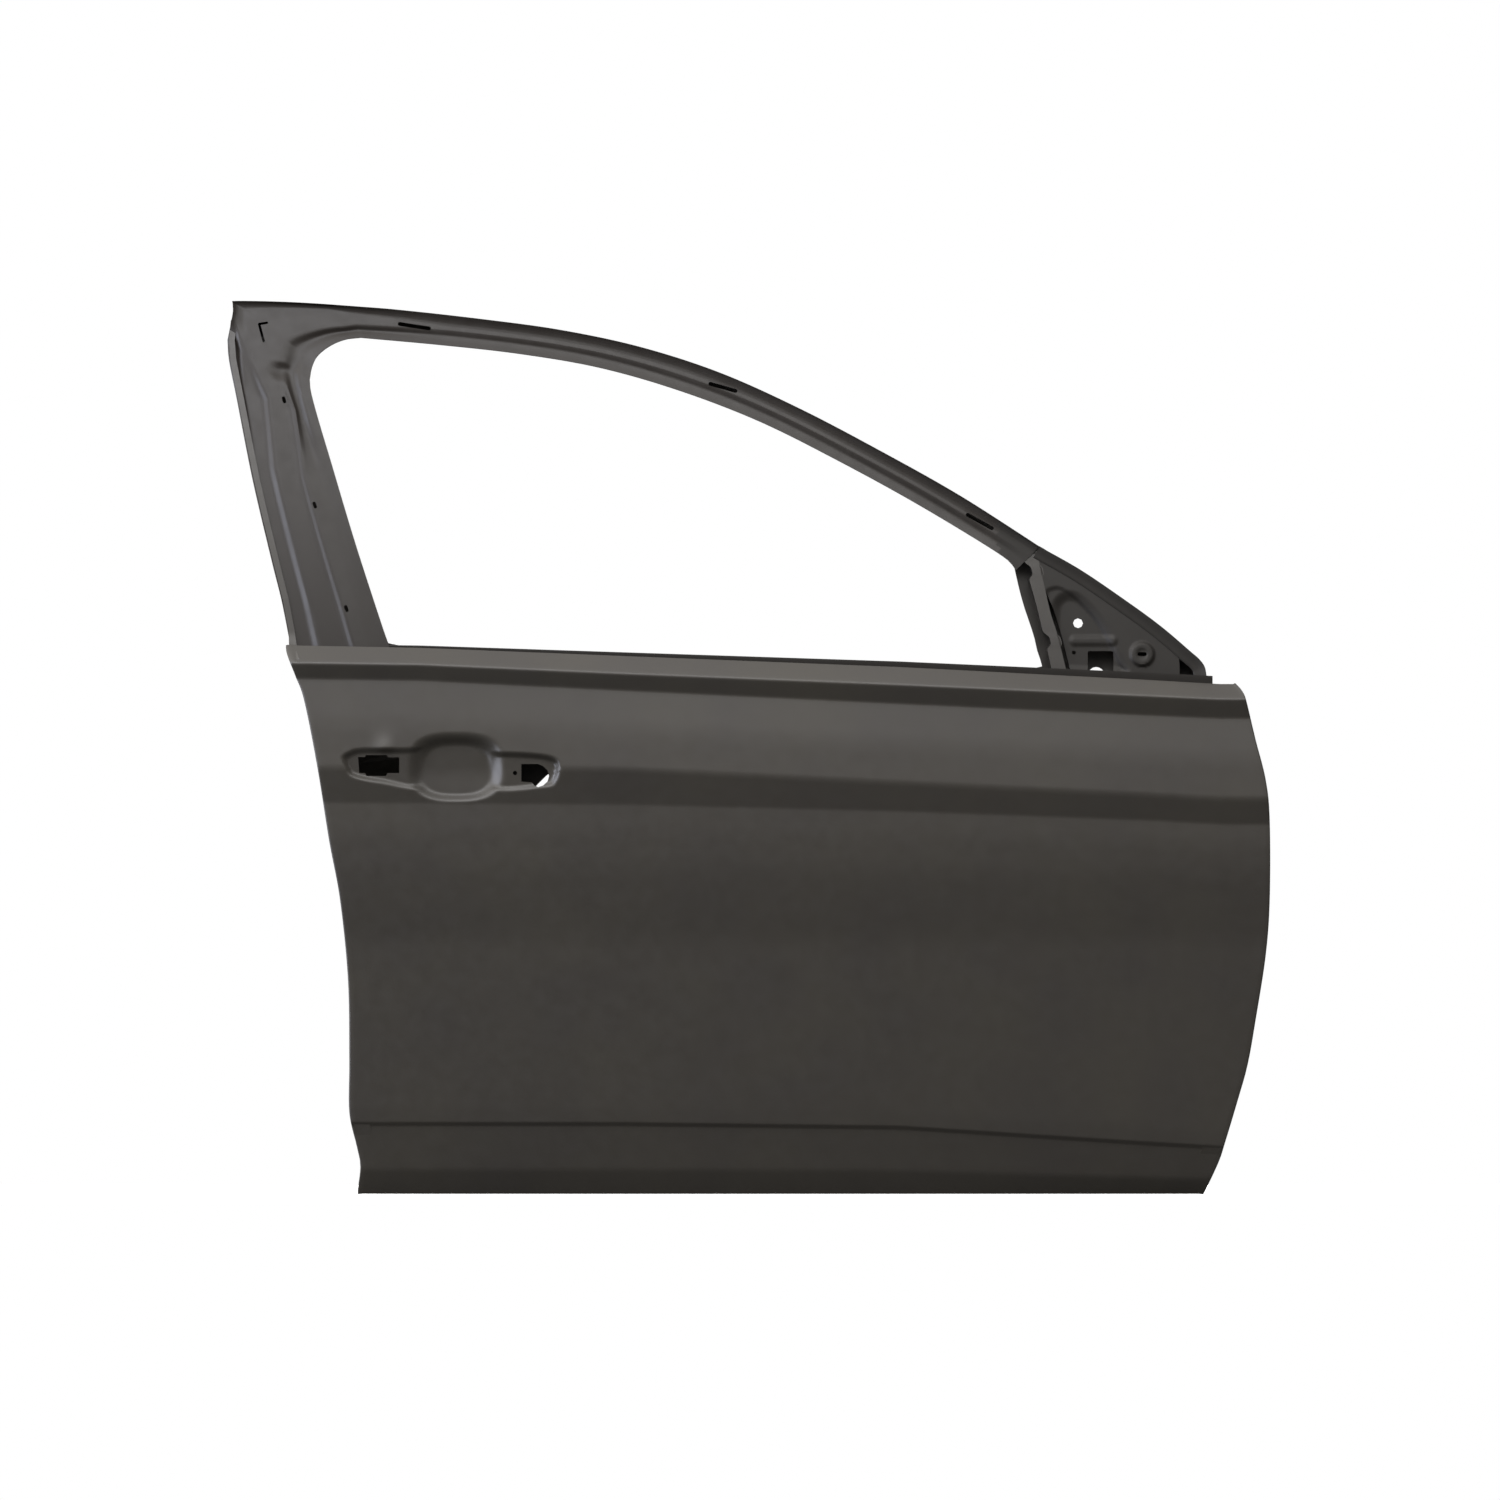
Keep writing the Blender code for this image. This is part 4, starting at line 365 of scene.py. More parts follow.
# Its brightness before and behind the door, and the directions between which that changes
FRONT_LEVEL = 4.15
BACK_LEVEL = 1.5
LEVEL_TURN = (-0.05, 0.45)
ROOM_TINT = "#FFFCF8"


def length(name, description, default):
    return bpy.props.FloatProperty(name=name, description=description, default=default, unit="LENGTH")


def colour(name, description, default):
    return bpy.props.StringProperty(name=name, description=description + ", as sRGB hex", default=default)


class DoorSizes(bpy.types.PropertyGroup):
    """Lengths of the door that can be set by themselves."""

    skin_section: length("Skin section", "Depth of the skin from its most outboard line to the belt", 0.034)
    plan_crown: length("Plan crown", "How far the ends of the door lie inboard of its middle", 0.012)
    skin_sheet: length("Skin sheet", "Thickness of the skin", 0.0008)
    frame_sheet: length("Frame sheet", "Thickness of the window frame's pressings", 0.001)
    hem_radius: length("Hem radius", "Outer radius of the skin's folded edge", 0.0017)
    hem_return: length("Hem return", "Width of the folded flange behind the skin's edge", 0.010)
    cup_depth: length("Cup depth", "Depth of the recess behind the handle", 0.0098)
    cup_half_length: length("Cup half length", "Half the length of the recess behind the handle", 0.0576)
    cup_half_height: length("Cup half height", "Half the height of the recess behind the handle", 0.0418)
    wing_depth: length("Wing depth", "Depth of the flat pockets beside the cup", 0.0012)


class DoorFinishes(bpy.types.PropertyGroup):
    """Colours of the finishes, as they are seen."""

    primer: colour("Primer", "Electrocoat primer", "#35322E")
    # Darker copy of the primer: painted shade on the window frame
    frame_coat_shaded: colour("Frame primer", "Duller primer of the window frame", "#25211E")
    # Darker copy of the primer: painted shade on the mirror corner and the pieces deep in the door
    shaded_primer: colour("Corner primer", "Dullest primer, in the mirror corner", "#272523")
    # Darker copy of the primer: painted shade on the front sash
    primer_light: colour("Thin primer", "Primer where it lies thinner", "#2D2A26")
    zinc: colour("Zinc", "Zinc of the weld nuts", "#A9A7A3")
    mastic: colour("Mastic", "Damping mastic", "#2A2928")
    floor: colour("Floor", "Plain pale floor", "#F4F4F4")


# Curves and surfaces of the door


def plan(points):
    """Plan points in metres, from ten-thousandths of the length and height."""
    return np.array(points, float) / 10000 * (LENGTH, HEIGHT)


def smooth_line(points, count):
    """Evenly spaced points along a smooth line through the given ones."""
    points = np.asarray(points, float)
    padded = np.vstack((2 * points[0] - points[1], points, 2 * points[-1] - points[-2]))
    t = np.linspace(0, 1, 17)[:-1, None]
    run = []
    for before, start, end, after in zip(padded, padded[1:], padded[2:], padded[3:]):
        run.append(0.5 * (2 * start + (end - before) * t + (2 * before - 5 * start + 4 * end - after) * t ** 2
                          + (3 * start - before - 3 * end + after) * t ** 3))
    run = np.vstack(run + [points[-1:]])
    return even_line(run, count)


def even_line(points, count):
    """The same line with evenly spaced points."""
    steps = np.linalg.norm(np.diff(points, axis=0), axis=1)
    along = np.concatenate(([0.0], np.cumsum(steps)))
    places = np.linspace(0.0, along[-1], count)
    return np.column_stack([np.interp(places, along, points[:, axis]) for axis in range(points.shape[1])])


def row_heights(x):
    """Heights of the skin's feature lines at places along the door, one row for each line."""
    return np.array([np.interp(x / LENGTH, STATIONS, row[0]) * HEIGHT for row in SKIN_ROWS])


def crown(x, sizes):
    return sizes.plan_crown * (2 * x / LENGTH - 1) ** 2


def skin_depth(x, z, sizes):
    """Depth of the skin: straight between its feature lines, each of which is rounded."""
    heights = row_heights(x)
    depths = [row[1] * sizes.skin_section for row in SKIN_ROWS]
    y = depths[0] + 0 * x
    slope = 0.0
    for line in range(len(SKIN_ROWS) - 1):
        steeper = (depths[line + 1] - depths[line]) / (heights[line + 1] - heights[line])
        past = z - heights[line]
        half = max(SKIN_ROWS[line][2] * MM, 1e-6)
        ramp = np.where(np.abs(past) < half, (past + half) ** 2 / (4 * half), np.maximum(past, 0.0))
        y = y + (steeper - slope) * ramp
        slope = steeper
    return y + crown(x, sizes)


def belt_height(x):
    return np.interp(x / LENGTH, STATIONS, SKIN_ROWS[-1][0]) * HEIGHT


def frame_depth(x, z, sizes):
    """Depth of the window frame's outer face, which leans inboard as it rises."""
    belt = belt_height(x)
    rise = z - belt
    lean = FRAME_LEAN * rise + FRAME_LEAN_GROWTH * np.maximum(rise, 0.0) ** 2 / (2 * (HEIGHT - belt))
    return FRAME_INSET + crown(x, sizes) + lean


def edge_place(edge, z):
    """Place along the door of a smooth edge that is given from the top down."""
    line = smooth_line(plan(edge)[::-1], 400)
    return np.interp(z, line[:, 1], line[:, 0])


def distance_inside(x, z, outline):
    """Distance of plan points from an outline, positive inside it."""
    nearest = np.full(x.shape, 1e9)
    inside = np.zeros(x.shape, bool)
    for start, end in zip(outline, np.roll(outline, -1, axis=0)):
        run = end - start
        share = np.clip(((x - start[0]) * run[0] + (z - start[1]) * run[1]) / (run @ run), 0, 1)
        gap = np.hypot(x - start[0] - share * run[0], z - start[1] - share * run[1])
        nearest = np.minimum(nearest, gap)
        if start[1] != end[1]:
            meet = start[0] + (z - start[1]) * run[0] / run[1]
            inside ^= ((start[1] > z) != (end[1] > z)) & (x < meet)
    return np.where(inside, nearest, -nearest)


def sideways(line):
    """Unit directions square to a plan line at its points, to the right of its run."""
    run = np.gradient(line, axis=0)
    return np.column_stack((run[:, 1], -run[:, 0])) / np.linalg.norm(run, axis=1)[:, None]


def between(lines, row, column, steps):
    """Values at a grid's points between lines that are given so many rows apart."""
    low = np.minimum(row // steps, len(lines) - 2)
    part = ((row - low * steps) / steps)[:, None]
    return lines[low, column] * (1 - part) + lines[low + 1, column] * part


def eased(share):
    share = np.clip(share, 0.0, 1.0)
    return share * share * (3 - 2 * share)


# Mesh making


def grid(columns, rows):
    """Flat grid of quads, and the column and row number of each of its points."""
    mesh = bmesh.new()
    bmesh.ops.create_grid(mesh, x_segments=columns - 1, y_segments=rows - 1, size=0.5)
    mesh.verts.ensure_lookup_table()
    places = np.array([vertex.co for vertex in mesh.verts])
    column = np.rint((places[:, 0] + 0.5) * (columns - 1)).astype(int)
    row = np.rint((places[:, 1] + 0.5) * (rows - 1)).astype(int)
    return mesh, column, row


def place_points(mesh, x, y, z):
    for vertex, place in zip(mesh.verts, np.column_stack((x, y, z))):
        vertex.co = place


def face_outboard(mesh):
    """Turn an open sheet's faces outboard, so that its thickness goes inboard."""
    bmesh.ops.recalc_face_normals(mesh, faces=mesh.faces[:])
    total = sum((face.normal * face.calc_area() for face in mesh.faces), Vector())
    if total.y > 0:
        bmesh.ops.reverse_faces(mesh, faces=mesh.faces[:])


def prism(outline, low=-0.05, high=0.25):
    """Closed cutter with a plan outline, reaching from one depth to another."""
    mesh = bmesh.new()
    ring = [mesh.verts.new((x, low, z)) for x, z in outline]
    face = mesh.faces.new(ring)
    made = bmesh.ops.extrude_face_region(mesh, geom=[face])
    for item in made["geom"]:
        if isinstance(item, bmesh.types.BMVert):
            item.co.y = high
    bmesh.ops.recalc_face_normals(mesh, faces=mesh.faces[:])
    return mesh


def round_outline(centre, half_length, half_height, power=2.0):
    """Oval about a plan point; a higher power makes it squarer."""
    angles = np.linspace(0, 2 * math.pi, 25)[:-1]
    across, up = np.cos(angles), np.sin(angles)
    return np.column_stack((centre[0] + half_length * np.sign(across) * np.abs(across) ** (2 / power),
                            centre[1] + half_height * np.sign(up) * np.abs(up) ** (2 / power)))


def slot_outline(start, end, width):
    """Slot with round ends between two plan points."""
    run = (end - start) / np.linalg.norm(end - start)
    turn = math.atan2(run[1], run[0])
    points = []
    for centre, first in ((end, turn - math.pi / 2), (start, turn + math.pi / 2)):
        for angle in np.linspace(first, first + math.pi, 7):
            points.append(centre + width / 2 * np.array((math.cos(angle), math.sin(angle))))
    return np.array(points)


def to_object(name, mesh):
    """Move a mesh from the door's plan to the frame's origin and make it an object."""
    bmesh.ops.translate(mesh, vec=-Vector(PLAN_ORIGIN), verts=mesh.verts[:])
    data = bpy.data.meshes.new(name)
    mesh.to_mesh(data)
    mesh.free()
    made = bpy.data.objects.new(name, data)
    bpy.context.scene.collection.objects.link(made)
    return made


def keep_modified(made):
    """Put what an object's modifiers make into its own mesh."""
    graph = bpy.context.evaluated_depsgraph_get()
    data = bpy.data.meshes.new_from_object(made.evaluated_get(graph))
    old = made.data
    made.modifiers.clear()
    made.data = data
    bpy.data.meshes.remove(old)
    data.name = made.name


def thicken(made, thickness, even=True):
    solid = made.modifiers.new("Sheet", "SOLIDIFY")
    solid.thickness = thickness
    solid.offset = -1.0
    solid.use_even_offset = even


def cut_out(made, outlines):
    """Cut plan outlines through a sheet."""
    cutters = []
    for outline in outlines:
        cutter = to_object("cutter", prism(outline))
        cut = made.modifiers.new("Opening", "BOOLEAN")
        cut.operation = "DIFFERENCE"
        cut.solver = "EXACT"
        cut.object = cutter
        cutters.append(cutter)
    keep_modified(made)
    for cutter in cutters:
        bpy.data.objects.remove(cutter, do_unlink=True)


def make_sheet(name, mesh, finishes, thickness, outlines=(), even=True):
    """Make an open sheet an object, thicken it inboard and cut plan outlines through it."""
    face_outboard(mesh)
    made = to_object(name, mesh)
    for finish in finishes:
        made.data.materials.append(coat(finish))
    thicken(made, thickness, even)
    cut_out(made, outlines)
    return made


def finish_piece(made, node, angle=32.0):
    """Smooth a finished piece but for its sharp edges, let it stand for a CAD node and ride on its body."""
    made.data.shade_smooth()
    made.data.set_sharp_from_angle(angle=math.radians(angle))
    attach(made, "root")
    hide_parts(node)


# Materials


def seen(colour):
    """Linear value of a colour that is given as sRGB hex."""
    parts = [int(colour[place:place + 2], 16) / 255 for place in (1, 3, 5)]
    linear = [part / 12.92 if part <= 0.04045 else ((part + 0.055) / 1.055) ** 2.4 for part in parts]
    return (*linear, 1.0)


def shade(colour, factor):
    """A hex colour made lighter or darker."""
    parts = [min(255, round(int(colour[place:place + 2], 16) * factor)) for place in (1, 3, 5)]
    return "#" + "".join(f"{part:02X}" for part in parts)


def add_node(tree, kind, inputs=None, settings=None):
    """Add a shader node with its settings; an input is a value or a socket to link."""
    node = tree.nodes.new("ShaderNode" + kind)
    for name, value in (settings or {}).items():
        setattr(node, name, value)
    for name, value in (inputs or {}).items():
        if isinstance(value, bpy.types.NodeSocket):
            tree.links.new(value, node.inputs[name])
        else:
            node.inputs[name].default_value = value
    return node


def cleared_tree(data):
    """Empty node tree of a material or world."""
    data.use_nodes = True
    data.node_tree.nodes.clear()
    return data.node_tree


def show_camera(tree, output, camera, others):
    """End a tree with one shader for camera rays and one for all others."""
    ray = add_node(tree, "LightPath")
    shown = add_node(tree, "MixShader", {
        0: ray.outputs["Is Camera Ray"], 1: others.outputs[0], 2: camera.outputs[0]})
    add_node(tree, output, {"Surface": shown.outputs[0]})


def coat(finish):
    """Material of a finish, with cloudy colour, uneven gloss and a fine relief."""
    name, roughness, mottle, peel_mm, peel_depth_mm, metallic, specular = FINISHES[finish]
    found = bpy.data.materials.get(name)
    if found:
        return found
    material = bpy.data.materials.new(name)
    tree = cleared_tree(material)
    place = add_node(tree, "TexCoord").outputs["Object"]
    clouds, dust, peel = (
        add_node(tree, "TexNoise", {"Vector": place, "Scale": 1 / size, "Detail": detail})
        for size, detail in ((CLOUD_SIZE, 4.0), (DUST_SIZE, 6.0), (peel_mm * MM, 2.0)))
    tint = add_node(tree, "ValToRGB", {"Fac": clouds.outputs["Fac"]})
    for stop, share, change in zip(tint.color_ramp.elements, (0.30, 0.72), (-mottle, mottle)):
        stop.position = share
        stop.color = seen(shade(getattr(bpy.context.scene.door_finishes, finish), 1.0 + change))
    gloss = add_node(tree, "MapRange", {
        "Value": dust.outputs["Fac"], "From Min": 0.3, "From Max": 0.7,
        "To Min": roughness - 0.03, "To Max": roughness + 0.05})
    relief = add_node(tree, "Bump", {
        "Height": peel.outputs["Fac"], "Strength": 0.35, "Distance": peel_depth_mm * MM})
    surface = add_node(tree, "BsdfPrincipled", {
        "Base Color": tint.outputs["Color"], "Roughness": gloss.outputs["Result"],
        "Metallic": metallic, "Normal": relief.outputs["Normal"], "Specular IOR Level": specular})
    add_node(tree, "OutputMaterial", {"Surface": surface.outputs["BSDF"]})
    return material


# Operators, one for each piece or group of pieces


class DOOR_OT_skin(bpy.types.Operator):
    """Build the skin with its creases, handle recess and hemmed edges."""

    bl_idname = "door.skin"
    bl_label = "Skin"

    def execute(self, context):
        sizes = context.scene.door_sizes
        lines = self.lines_up()
        ends = [start for start, _ in COLUMN_RUNS[1:]] + [1.0]
        runs = [np.linspace(start, end, count + 1)[:-1] for (start, count), end in zip(COLUMN_RUNS, ends)]
        along = np.concatenate(runs + [ends[-1:]])
        mesh, column, row = grid(len(along), len(lines))
        share = along[column]
        table = np.array(lines)[row]
        x = share * LENGTH
        # Heights and edges depend on each other: four rounds settle them
        for _ in range(4):
            heights = row_heights(x)
            point = np.arange(len(x))
            line = table[:, 0].astype(int)
            low = heights[line, point] + table[:, 1]
            up = np.minimum(line + 1, len(SKIN_ROWS) - 1)
            high = heights[up, point] + table[:, 2]
            z = low + (high - low) * table[:, 3]
            z = np.where(row == 0, sizes.hem_radius, z)
            rear = edge_place(REAR_EDGE, z) + sizes.hem_radius
            front = edge_place(FRONT_EDGE, z) - sizes.hem_radius
            x = rear + (front - rear) * share
        y = self.pressed_depth(x, z, sizes)
        place_points(mesh, x, y, z)
        self.fold_hem(mesh, column, row, len(along), len(lines), sizes)
        screw_hole = round_outline(plan(SCREW_HOLE), SCREW_HOLE_RADIUS, SCREW_HOLE_RADIUS)
        openings = [plan(GRIP_OPENING), plan(LOCK_OPENING), screw_hole]
        made = make_sheet("door_skin", mesh, ["primer"], sizes.skin_sheet, openings)
        finish_piece(made, "outer_panel")
        return {"FINISHED"}

    def lines_up(self):
        """Rows of the grid: feature line below, offsets from it and from the next one, share between them."""
        lines = [(0, 0.0, 0.0, 0.0)]
        for number, (_, _, half, spaces) in enumerate(SKIN_ROWS[:-1]):
            above = SKIN_ROWS[number + 1][2] * MM
            half *= MM
            steps = math.ceil(half / ROW_GAP) if spaces >= 10 else 3
            if number:
                lines += [(number, half * step / steps, -above, 0.0) for step in range(-steps, steps + 1)]
            lines += [(number, half, -above, step / spaces) for step in range(1, spaces)]
        lines.append((len(SKIN_ROWS) - 2, 0.0, 0.0, 1.0))
        return lines

    def pressed_depth(self, x, z, sizes):
        """Depth of the skin with the handle's cup and the two pockets beside it."""
        y = skin_depth(x, z, sizes)
        mark = plan(PRESS_MARK)
        depth, half_length, half_height = PRESS_MARK_SIZE
        y = y - depth * np.exp(-((x - mark[0]) / half_length) ** 2 - ((z - mark[1]) / half_height) ** 2)
        centre = plan(CUP_CENTRE)
        bottom, rise = centre[1] - sizes.cup_half_height, 2 * sizes.cup_half_height
        level = np.clip((z - bottom) / rise, 0, 1)
        plain = skin_depth(x, bottom + 0 * x, sizes) * (1 - level)
        plain = plain + skin_depth(x, bottom + rise + 0 * x, sizes) * level
        for outline in (WING_REAR, WING_FRONT):
            inner = distance_inside(x, z, smooth_line(plan(outline + outline[:1]), 80)[:-1])
            share = eased((inner + WING_LAP) / WING_SLOPE)
            y = y + (plain + sizes.wing_depth - y) * share
        across = np.abs((x - centre[0]) / sizes.cup_half_length) ** CUP_ROUNDNESS
        up = np.abs((z - centre[1]) / sizes.cup_half_height) ** CUP_ROUNDNESS
        inwards = 1.0 - (across + up) ** (1 / CUP_ROUNDNESS)
        wall = eased(inwards / (CUP_WALL[0] + (CUP_WALL[1] - CUP_WALL[0]) * level))
        floor = CUP_LOW_DEPTH + (1 - CUP_LOW_DEPTH) * eased(2 * level)
        return y + (plain - y + sizes.cup_depth * floor) * wall

    def fold_hem(self, mesh, column, row, columns, rows, sizes):
        """Fold the rear, lower and front edges back behind the skin."""
        mesh.verts.ensure_lookup_table()
        order = {}
        for number, (place, up) in enumerate(zip(column, row)):
            if place == 0:
                order[rows - 1 - up] = number
            elif up == 0:
                order[rows - 1 + place] = number
            if place == columns - 1:
                order[rows + columns - 2 + up] = number
        chain = [mesh.verts[order[key]] for key in sorted(order)]
        outwards = sideways(np.array([(vertex.co.x, vertex.co.z) for vertex in chain]))
        for corner in (rows - 1, rows + columns - 2):
            outwards[corner] *= math.sqrt(2)
        radius = sizes.hem_radius
        steps = 6
        turns = [math.pi * step / steps for step in range(1, steps + 1)]
        profile = [(radius * math.sin(turn), radius * (1 - math.cos(turn))) for turn in turns]
        profile.append((-sizes.hem_return, 2 * radius))
        bases = [vertex.co.copy() for vertex in chain]
        ring = chain
        for out, inboard in profile:
            edges = [mesh.edges.get((start, end)) for start, end in zip(ring, ring[1:])]
            made = bmesh.ops.extrude_edge_only(mesh, edges=edges)
            fresh = [item for item in made["geom"] if isinstance(item, bmesh.types.BMVert)]
            nearest = {tuple(round(value, 6) for value in vertex.co): vertex for vertex in fresh}
            ring = [nearest[tuple(round(value, 6) for value in vertex.co)] for vertex in ring]
            for vertex, base, way in zip(ring, bases, outwards):
                vertex.co = base + Vector((way[0] * out, inboard, way[1] * out))


class DOOR_OT_window_frame(bpy.types.Operator):
    """Build the window frame's outer pressing: header, corner, pillar and the rim over the mirror corner."""

    bl_idname = "door.window_frame"
    bl_label = "Window frame"

    def execute(self, context):
        sizes = context.scene.door_sizes
        outer, inner = (
            np.vstack([smooth_line(plan(run[side]), run[2])[:-1] for run in FRAME_RUNS]
                      + [plan(FRAME_RUNS[-1][side])[-1:]])
            for side in (0, 1))
        stations, sections = zip(*FRAME_STATIONS)
        steps = 3
        mesh, column, row = grid(len(outer), (len(HEADER_SECTION) - 1) * steps + 1)
        lines = np.array([[np.interp(np.arange(len(outer)), stations, line) for line in values]
                          for values in np.array(sections).transpose(2, 1, 0)])
        across, deep = between(lines.transpose(1, 2, 0), row, column, steps).T
        x, z = (outer[column] + (inner[column] - outer[column]) * across[:, None]).T
        dent = plan(CHANNEL_END)
        depth, radius, slope, stretch = CHANNEL_END_SIZE
        gap = np.hypot((x - dent[0]) / stretch, z - dent[1])
        y = frame_depth(x, z, sizes) + deep * MM + depth * eased((radius - gap) / slope)
        place_points(mesh, x, y, z)
        bmesh.ops.smooth_vert(mesh, verts=[v for v in mesh.verts if not v.is_boundary], factor=0.5,
                              use_axis_y=True)
        self.turn_lip(mesh, row)
        # Faces towards the front take the darker coat: painted shade on the frame's front part
        for face in mesh.faces:
            face.material_index = int(max(vertex.co.x for vertex in face.verts) > FRAME_SHADE_FROM * LENGTH)
        slots = [slot_outline(plan(start), plan(end), width * MM) for start, end, width in FRAME_SLOTS]
        finishes = ["frame_coat_shaded", "shaded_primer"]
        made = make_sheet("window_frame", mesh, finishes, sizes.frame_sheet, slots)
        for piece in (made, self.slope_rim(sizes)):
            finish_piece(piece, "window_frame_outer")
        return {"FINISHED"}

    def turn_lip(self, mesh, row):
        """Turn the outer edge inboard as a short lip."""
        mesh.verts.ensure_lookup_table()
        outer = {mesh.verts[number] for number, up in enumerate(row) if up == 0}
        edges = [edge for edge in mesh.edges if edge.verts[0] in outer and edge.verts[1] in outer]
        for inboard in LIP_STEPS:
            made = bmesh.ops.extrude_edge_only(mesh, edges=edges)
            edges = [item for item in made["geom"] if isinstance(item, bmesh.types.BMEdge)]
            for item in made["geom"]:
                if isinstance(item, bmesh.types.BMVert):
                    item.co.y += inboard

    def slope_rim(self, sizes):
        """Narrow rim that carries on from the header down to the belt, over the mirror corner."""
        outer = smooth_line(plan(SLOPE_EDGE)[::-1], 90)
        inwards = sideways(outer)
        mesh, column, row = grid(len(outer), len(SLOPE_RIM_SECTION))
        table = np.array(SLOPE_RIM_SECTION)
        x, z = (outer[column] + inwards[column] * (table[row, 0] * MM)[:, None]).T
        place_points(mesh, x, frame_depth(x, z, sizes) + table[row, 1] * MM, z)
        # The rim takes the darker coat: painted shade over the mirror corner
        return make_sheet("slope_rim", mesh, ["shaded_primer"], sizes.frame_sheet)


class DOOR_OT_mirror_corner(bpy.types.Operator):
    """Build the plate of the mirror corner with its recess, boss, rib and holes."""

    bl_idname = "door.mirror_corner"
    bl_label = "Mirror corner"

    def execute(self, context):
        columns, rows = 120, 112
        left, right = smooth_line(plan(PLATE_LEFT), rows), smooth_line(plan(PLATE_RIGHT), rows)
        mesh, column, row = grid(columns, rows)
        share = (column / (columns - 1))[:, None]
        x, z = (left[row] * (1 - share) + right[row] * share).T
        y = frame_depth(x, z, context.scene.door_sizes) + PLATE_INSET
        for outline, depth, slope in RECESSES:
            line = smooth_line(plan(outline + outline[:1]), 90)[:-1]
            y += depth * MM * eased(distance_inside(x, z, line) / (slope * MM))
        start, end = plan(MIRROR_RIB)
        along = np.clip((x - start[0]) / (end[0] - start[0]), 0, 1)
        gap = np.hypot(x - start[0] - along * (end[0] - start[0]), z - start[1])
        y -= RIB_HEIGHT * eased(RIB_REACH - gap / RIB_SLOPE)
        boss = plan(MIRROR_BOSS)
        gap = np.hypot(x - boss[0], z - boss[1])
        for depth, radius, slope in BOSS_RINGS:
            y += depth * eased((radius - gap) / slope)
        place_points(mesh, x, y, z)
        holes = [round_outline(plan(hole[:2]), hole[2] / 2 * MM, hole[2] / 2 * MM) for hole in MIRROR_HOLES]
        window = plan(MIRROR_WINDOW[:2])
        holes.append(round_outline(window, MIRROR_WINDOW[2] / 2 * MM, MIRROR_WINDOW[3] / 2 * MM, SQUARENESS))
        run = np.array((BOSS_SLOT[0], 0.0))
        holes.append(slot_outline(boss - run, boss + run, BOSS_SLOT[1]))
        # The plate takes the darker coat: painted shade over the mirror corner
        made = make_sheet("mirror_corner", mesh, ["shaded_primer"], PLATE_SHEET, holes)
        finish_piece(made, "mirror_reinforcement")
        return {"FINISHED"}


class DOOR_OT_sash(bpy.types.Operator):
    """Build the strip that closes the window's front edge, with its scalloped flange."""

    bl_idname = "door.sash"
    bl_label = "Front sash"

    def execute(self, context):
        sizes = context.scene.door_sizes
        rows, steps = 90, 5
        lines = [smooth_line(plan(line), rows) for line in (SASH_OUTER, SASH_INNER, SASH_INNER, SASH_WINDOW)]
        lines[2] = lines[2] - (SASH_WALL_LEAN, 0.0)
        mesh, column, row = grid(rows, 3 * steps + 1)
        lines = [np.column_stack((line, np.full(rows, depth))) for line, depth in zip(lines, SASH_DEPTHS)]
        x, z, deep = between(np.array(lines), row, column, steps).T
        for height in SCALLOPS:
            near = eased(RIB_REACH - np.abs(z - height * HEIGHT) / SCALLOP_SLOPE)
            x = x + np.where((row > 0) & (row <= 2 * steps), SCALLOP_DEPTH * near, 0.0)
        place_points(mesh, x, frame_depth(x, z, sizes) + deep * MM, z)
        mesh.verts.index_update()
        # Faces of the sash's wall and channel take the darker coat: painted shade in the channel
        for face in mesh.faces:
            face.material_index = int(max(row[vertex.index] for vertex in face.verts) > steps)
        finishes = ["primer_light", "shaded_primer"]
        made = make_sheet("window_sash", mesh, finishes, sizes.frame_sheet, even=False)
        finish_piece(made, "front_sash")
        return {"FINISHED"}


class DOOR_OT_belt_strip(bpy.types.Operator):
    """Build the strip behind the skin whose lip stands above it along the window slot."""

    bl_idname = "door.belt_strip"
    bl_label = "Belt strip"

    def execute(self, context):
        sizes = context.scene.door_sizes
        x_line = np.linspace(*BELT_STRIP_ENDS, 120) * LENGTH
        mesh, column, row = grid(len(x_line), len(BELT_STRIP_SECTION))
        x = x_line[column]
        table = np.array(BELT_STRIP_SECTION)[row]
        along = (x - x_line[0]) / (x_line[-1] - x_line[0])
        lip = (BELT_LIP[0] + BELT_LIP[1] * along) * MM
        z = belt_height(x) + np.where(table[:, 0] > 0, table[:, 0] * lip, table[:, 0] * MM)
        y = sizes.skin_section + crown(x, sizes) + BELT_STRIP_GAP + table[:, 1] * MM
        place_points(mesh, x, y, z)
        # The strip takes the darker coat: painted shade behind the skin's edge
        made = make_sheet("belt_strip_outer", mesh, ["shaded_primer"], sizes.frame_sheet)
        finish_piece(made, "belt_reinforcement_outer")
        return {"FINISHED"}


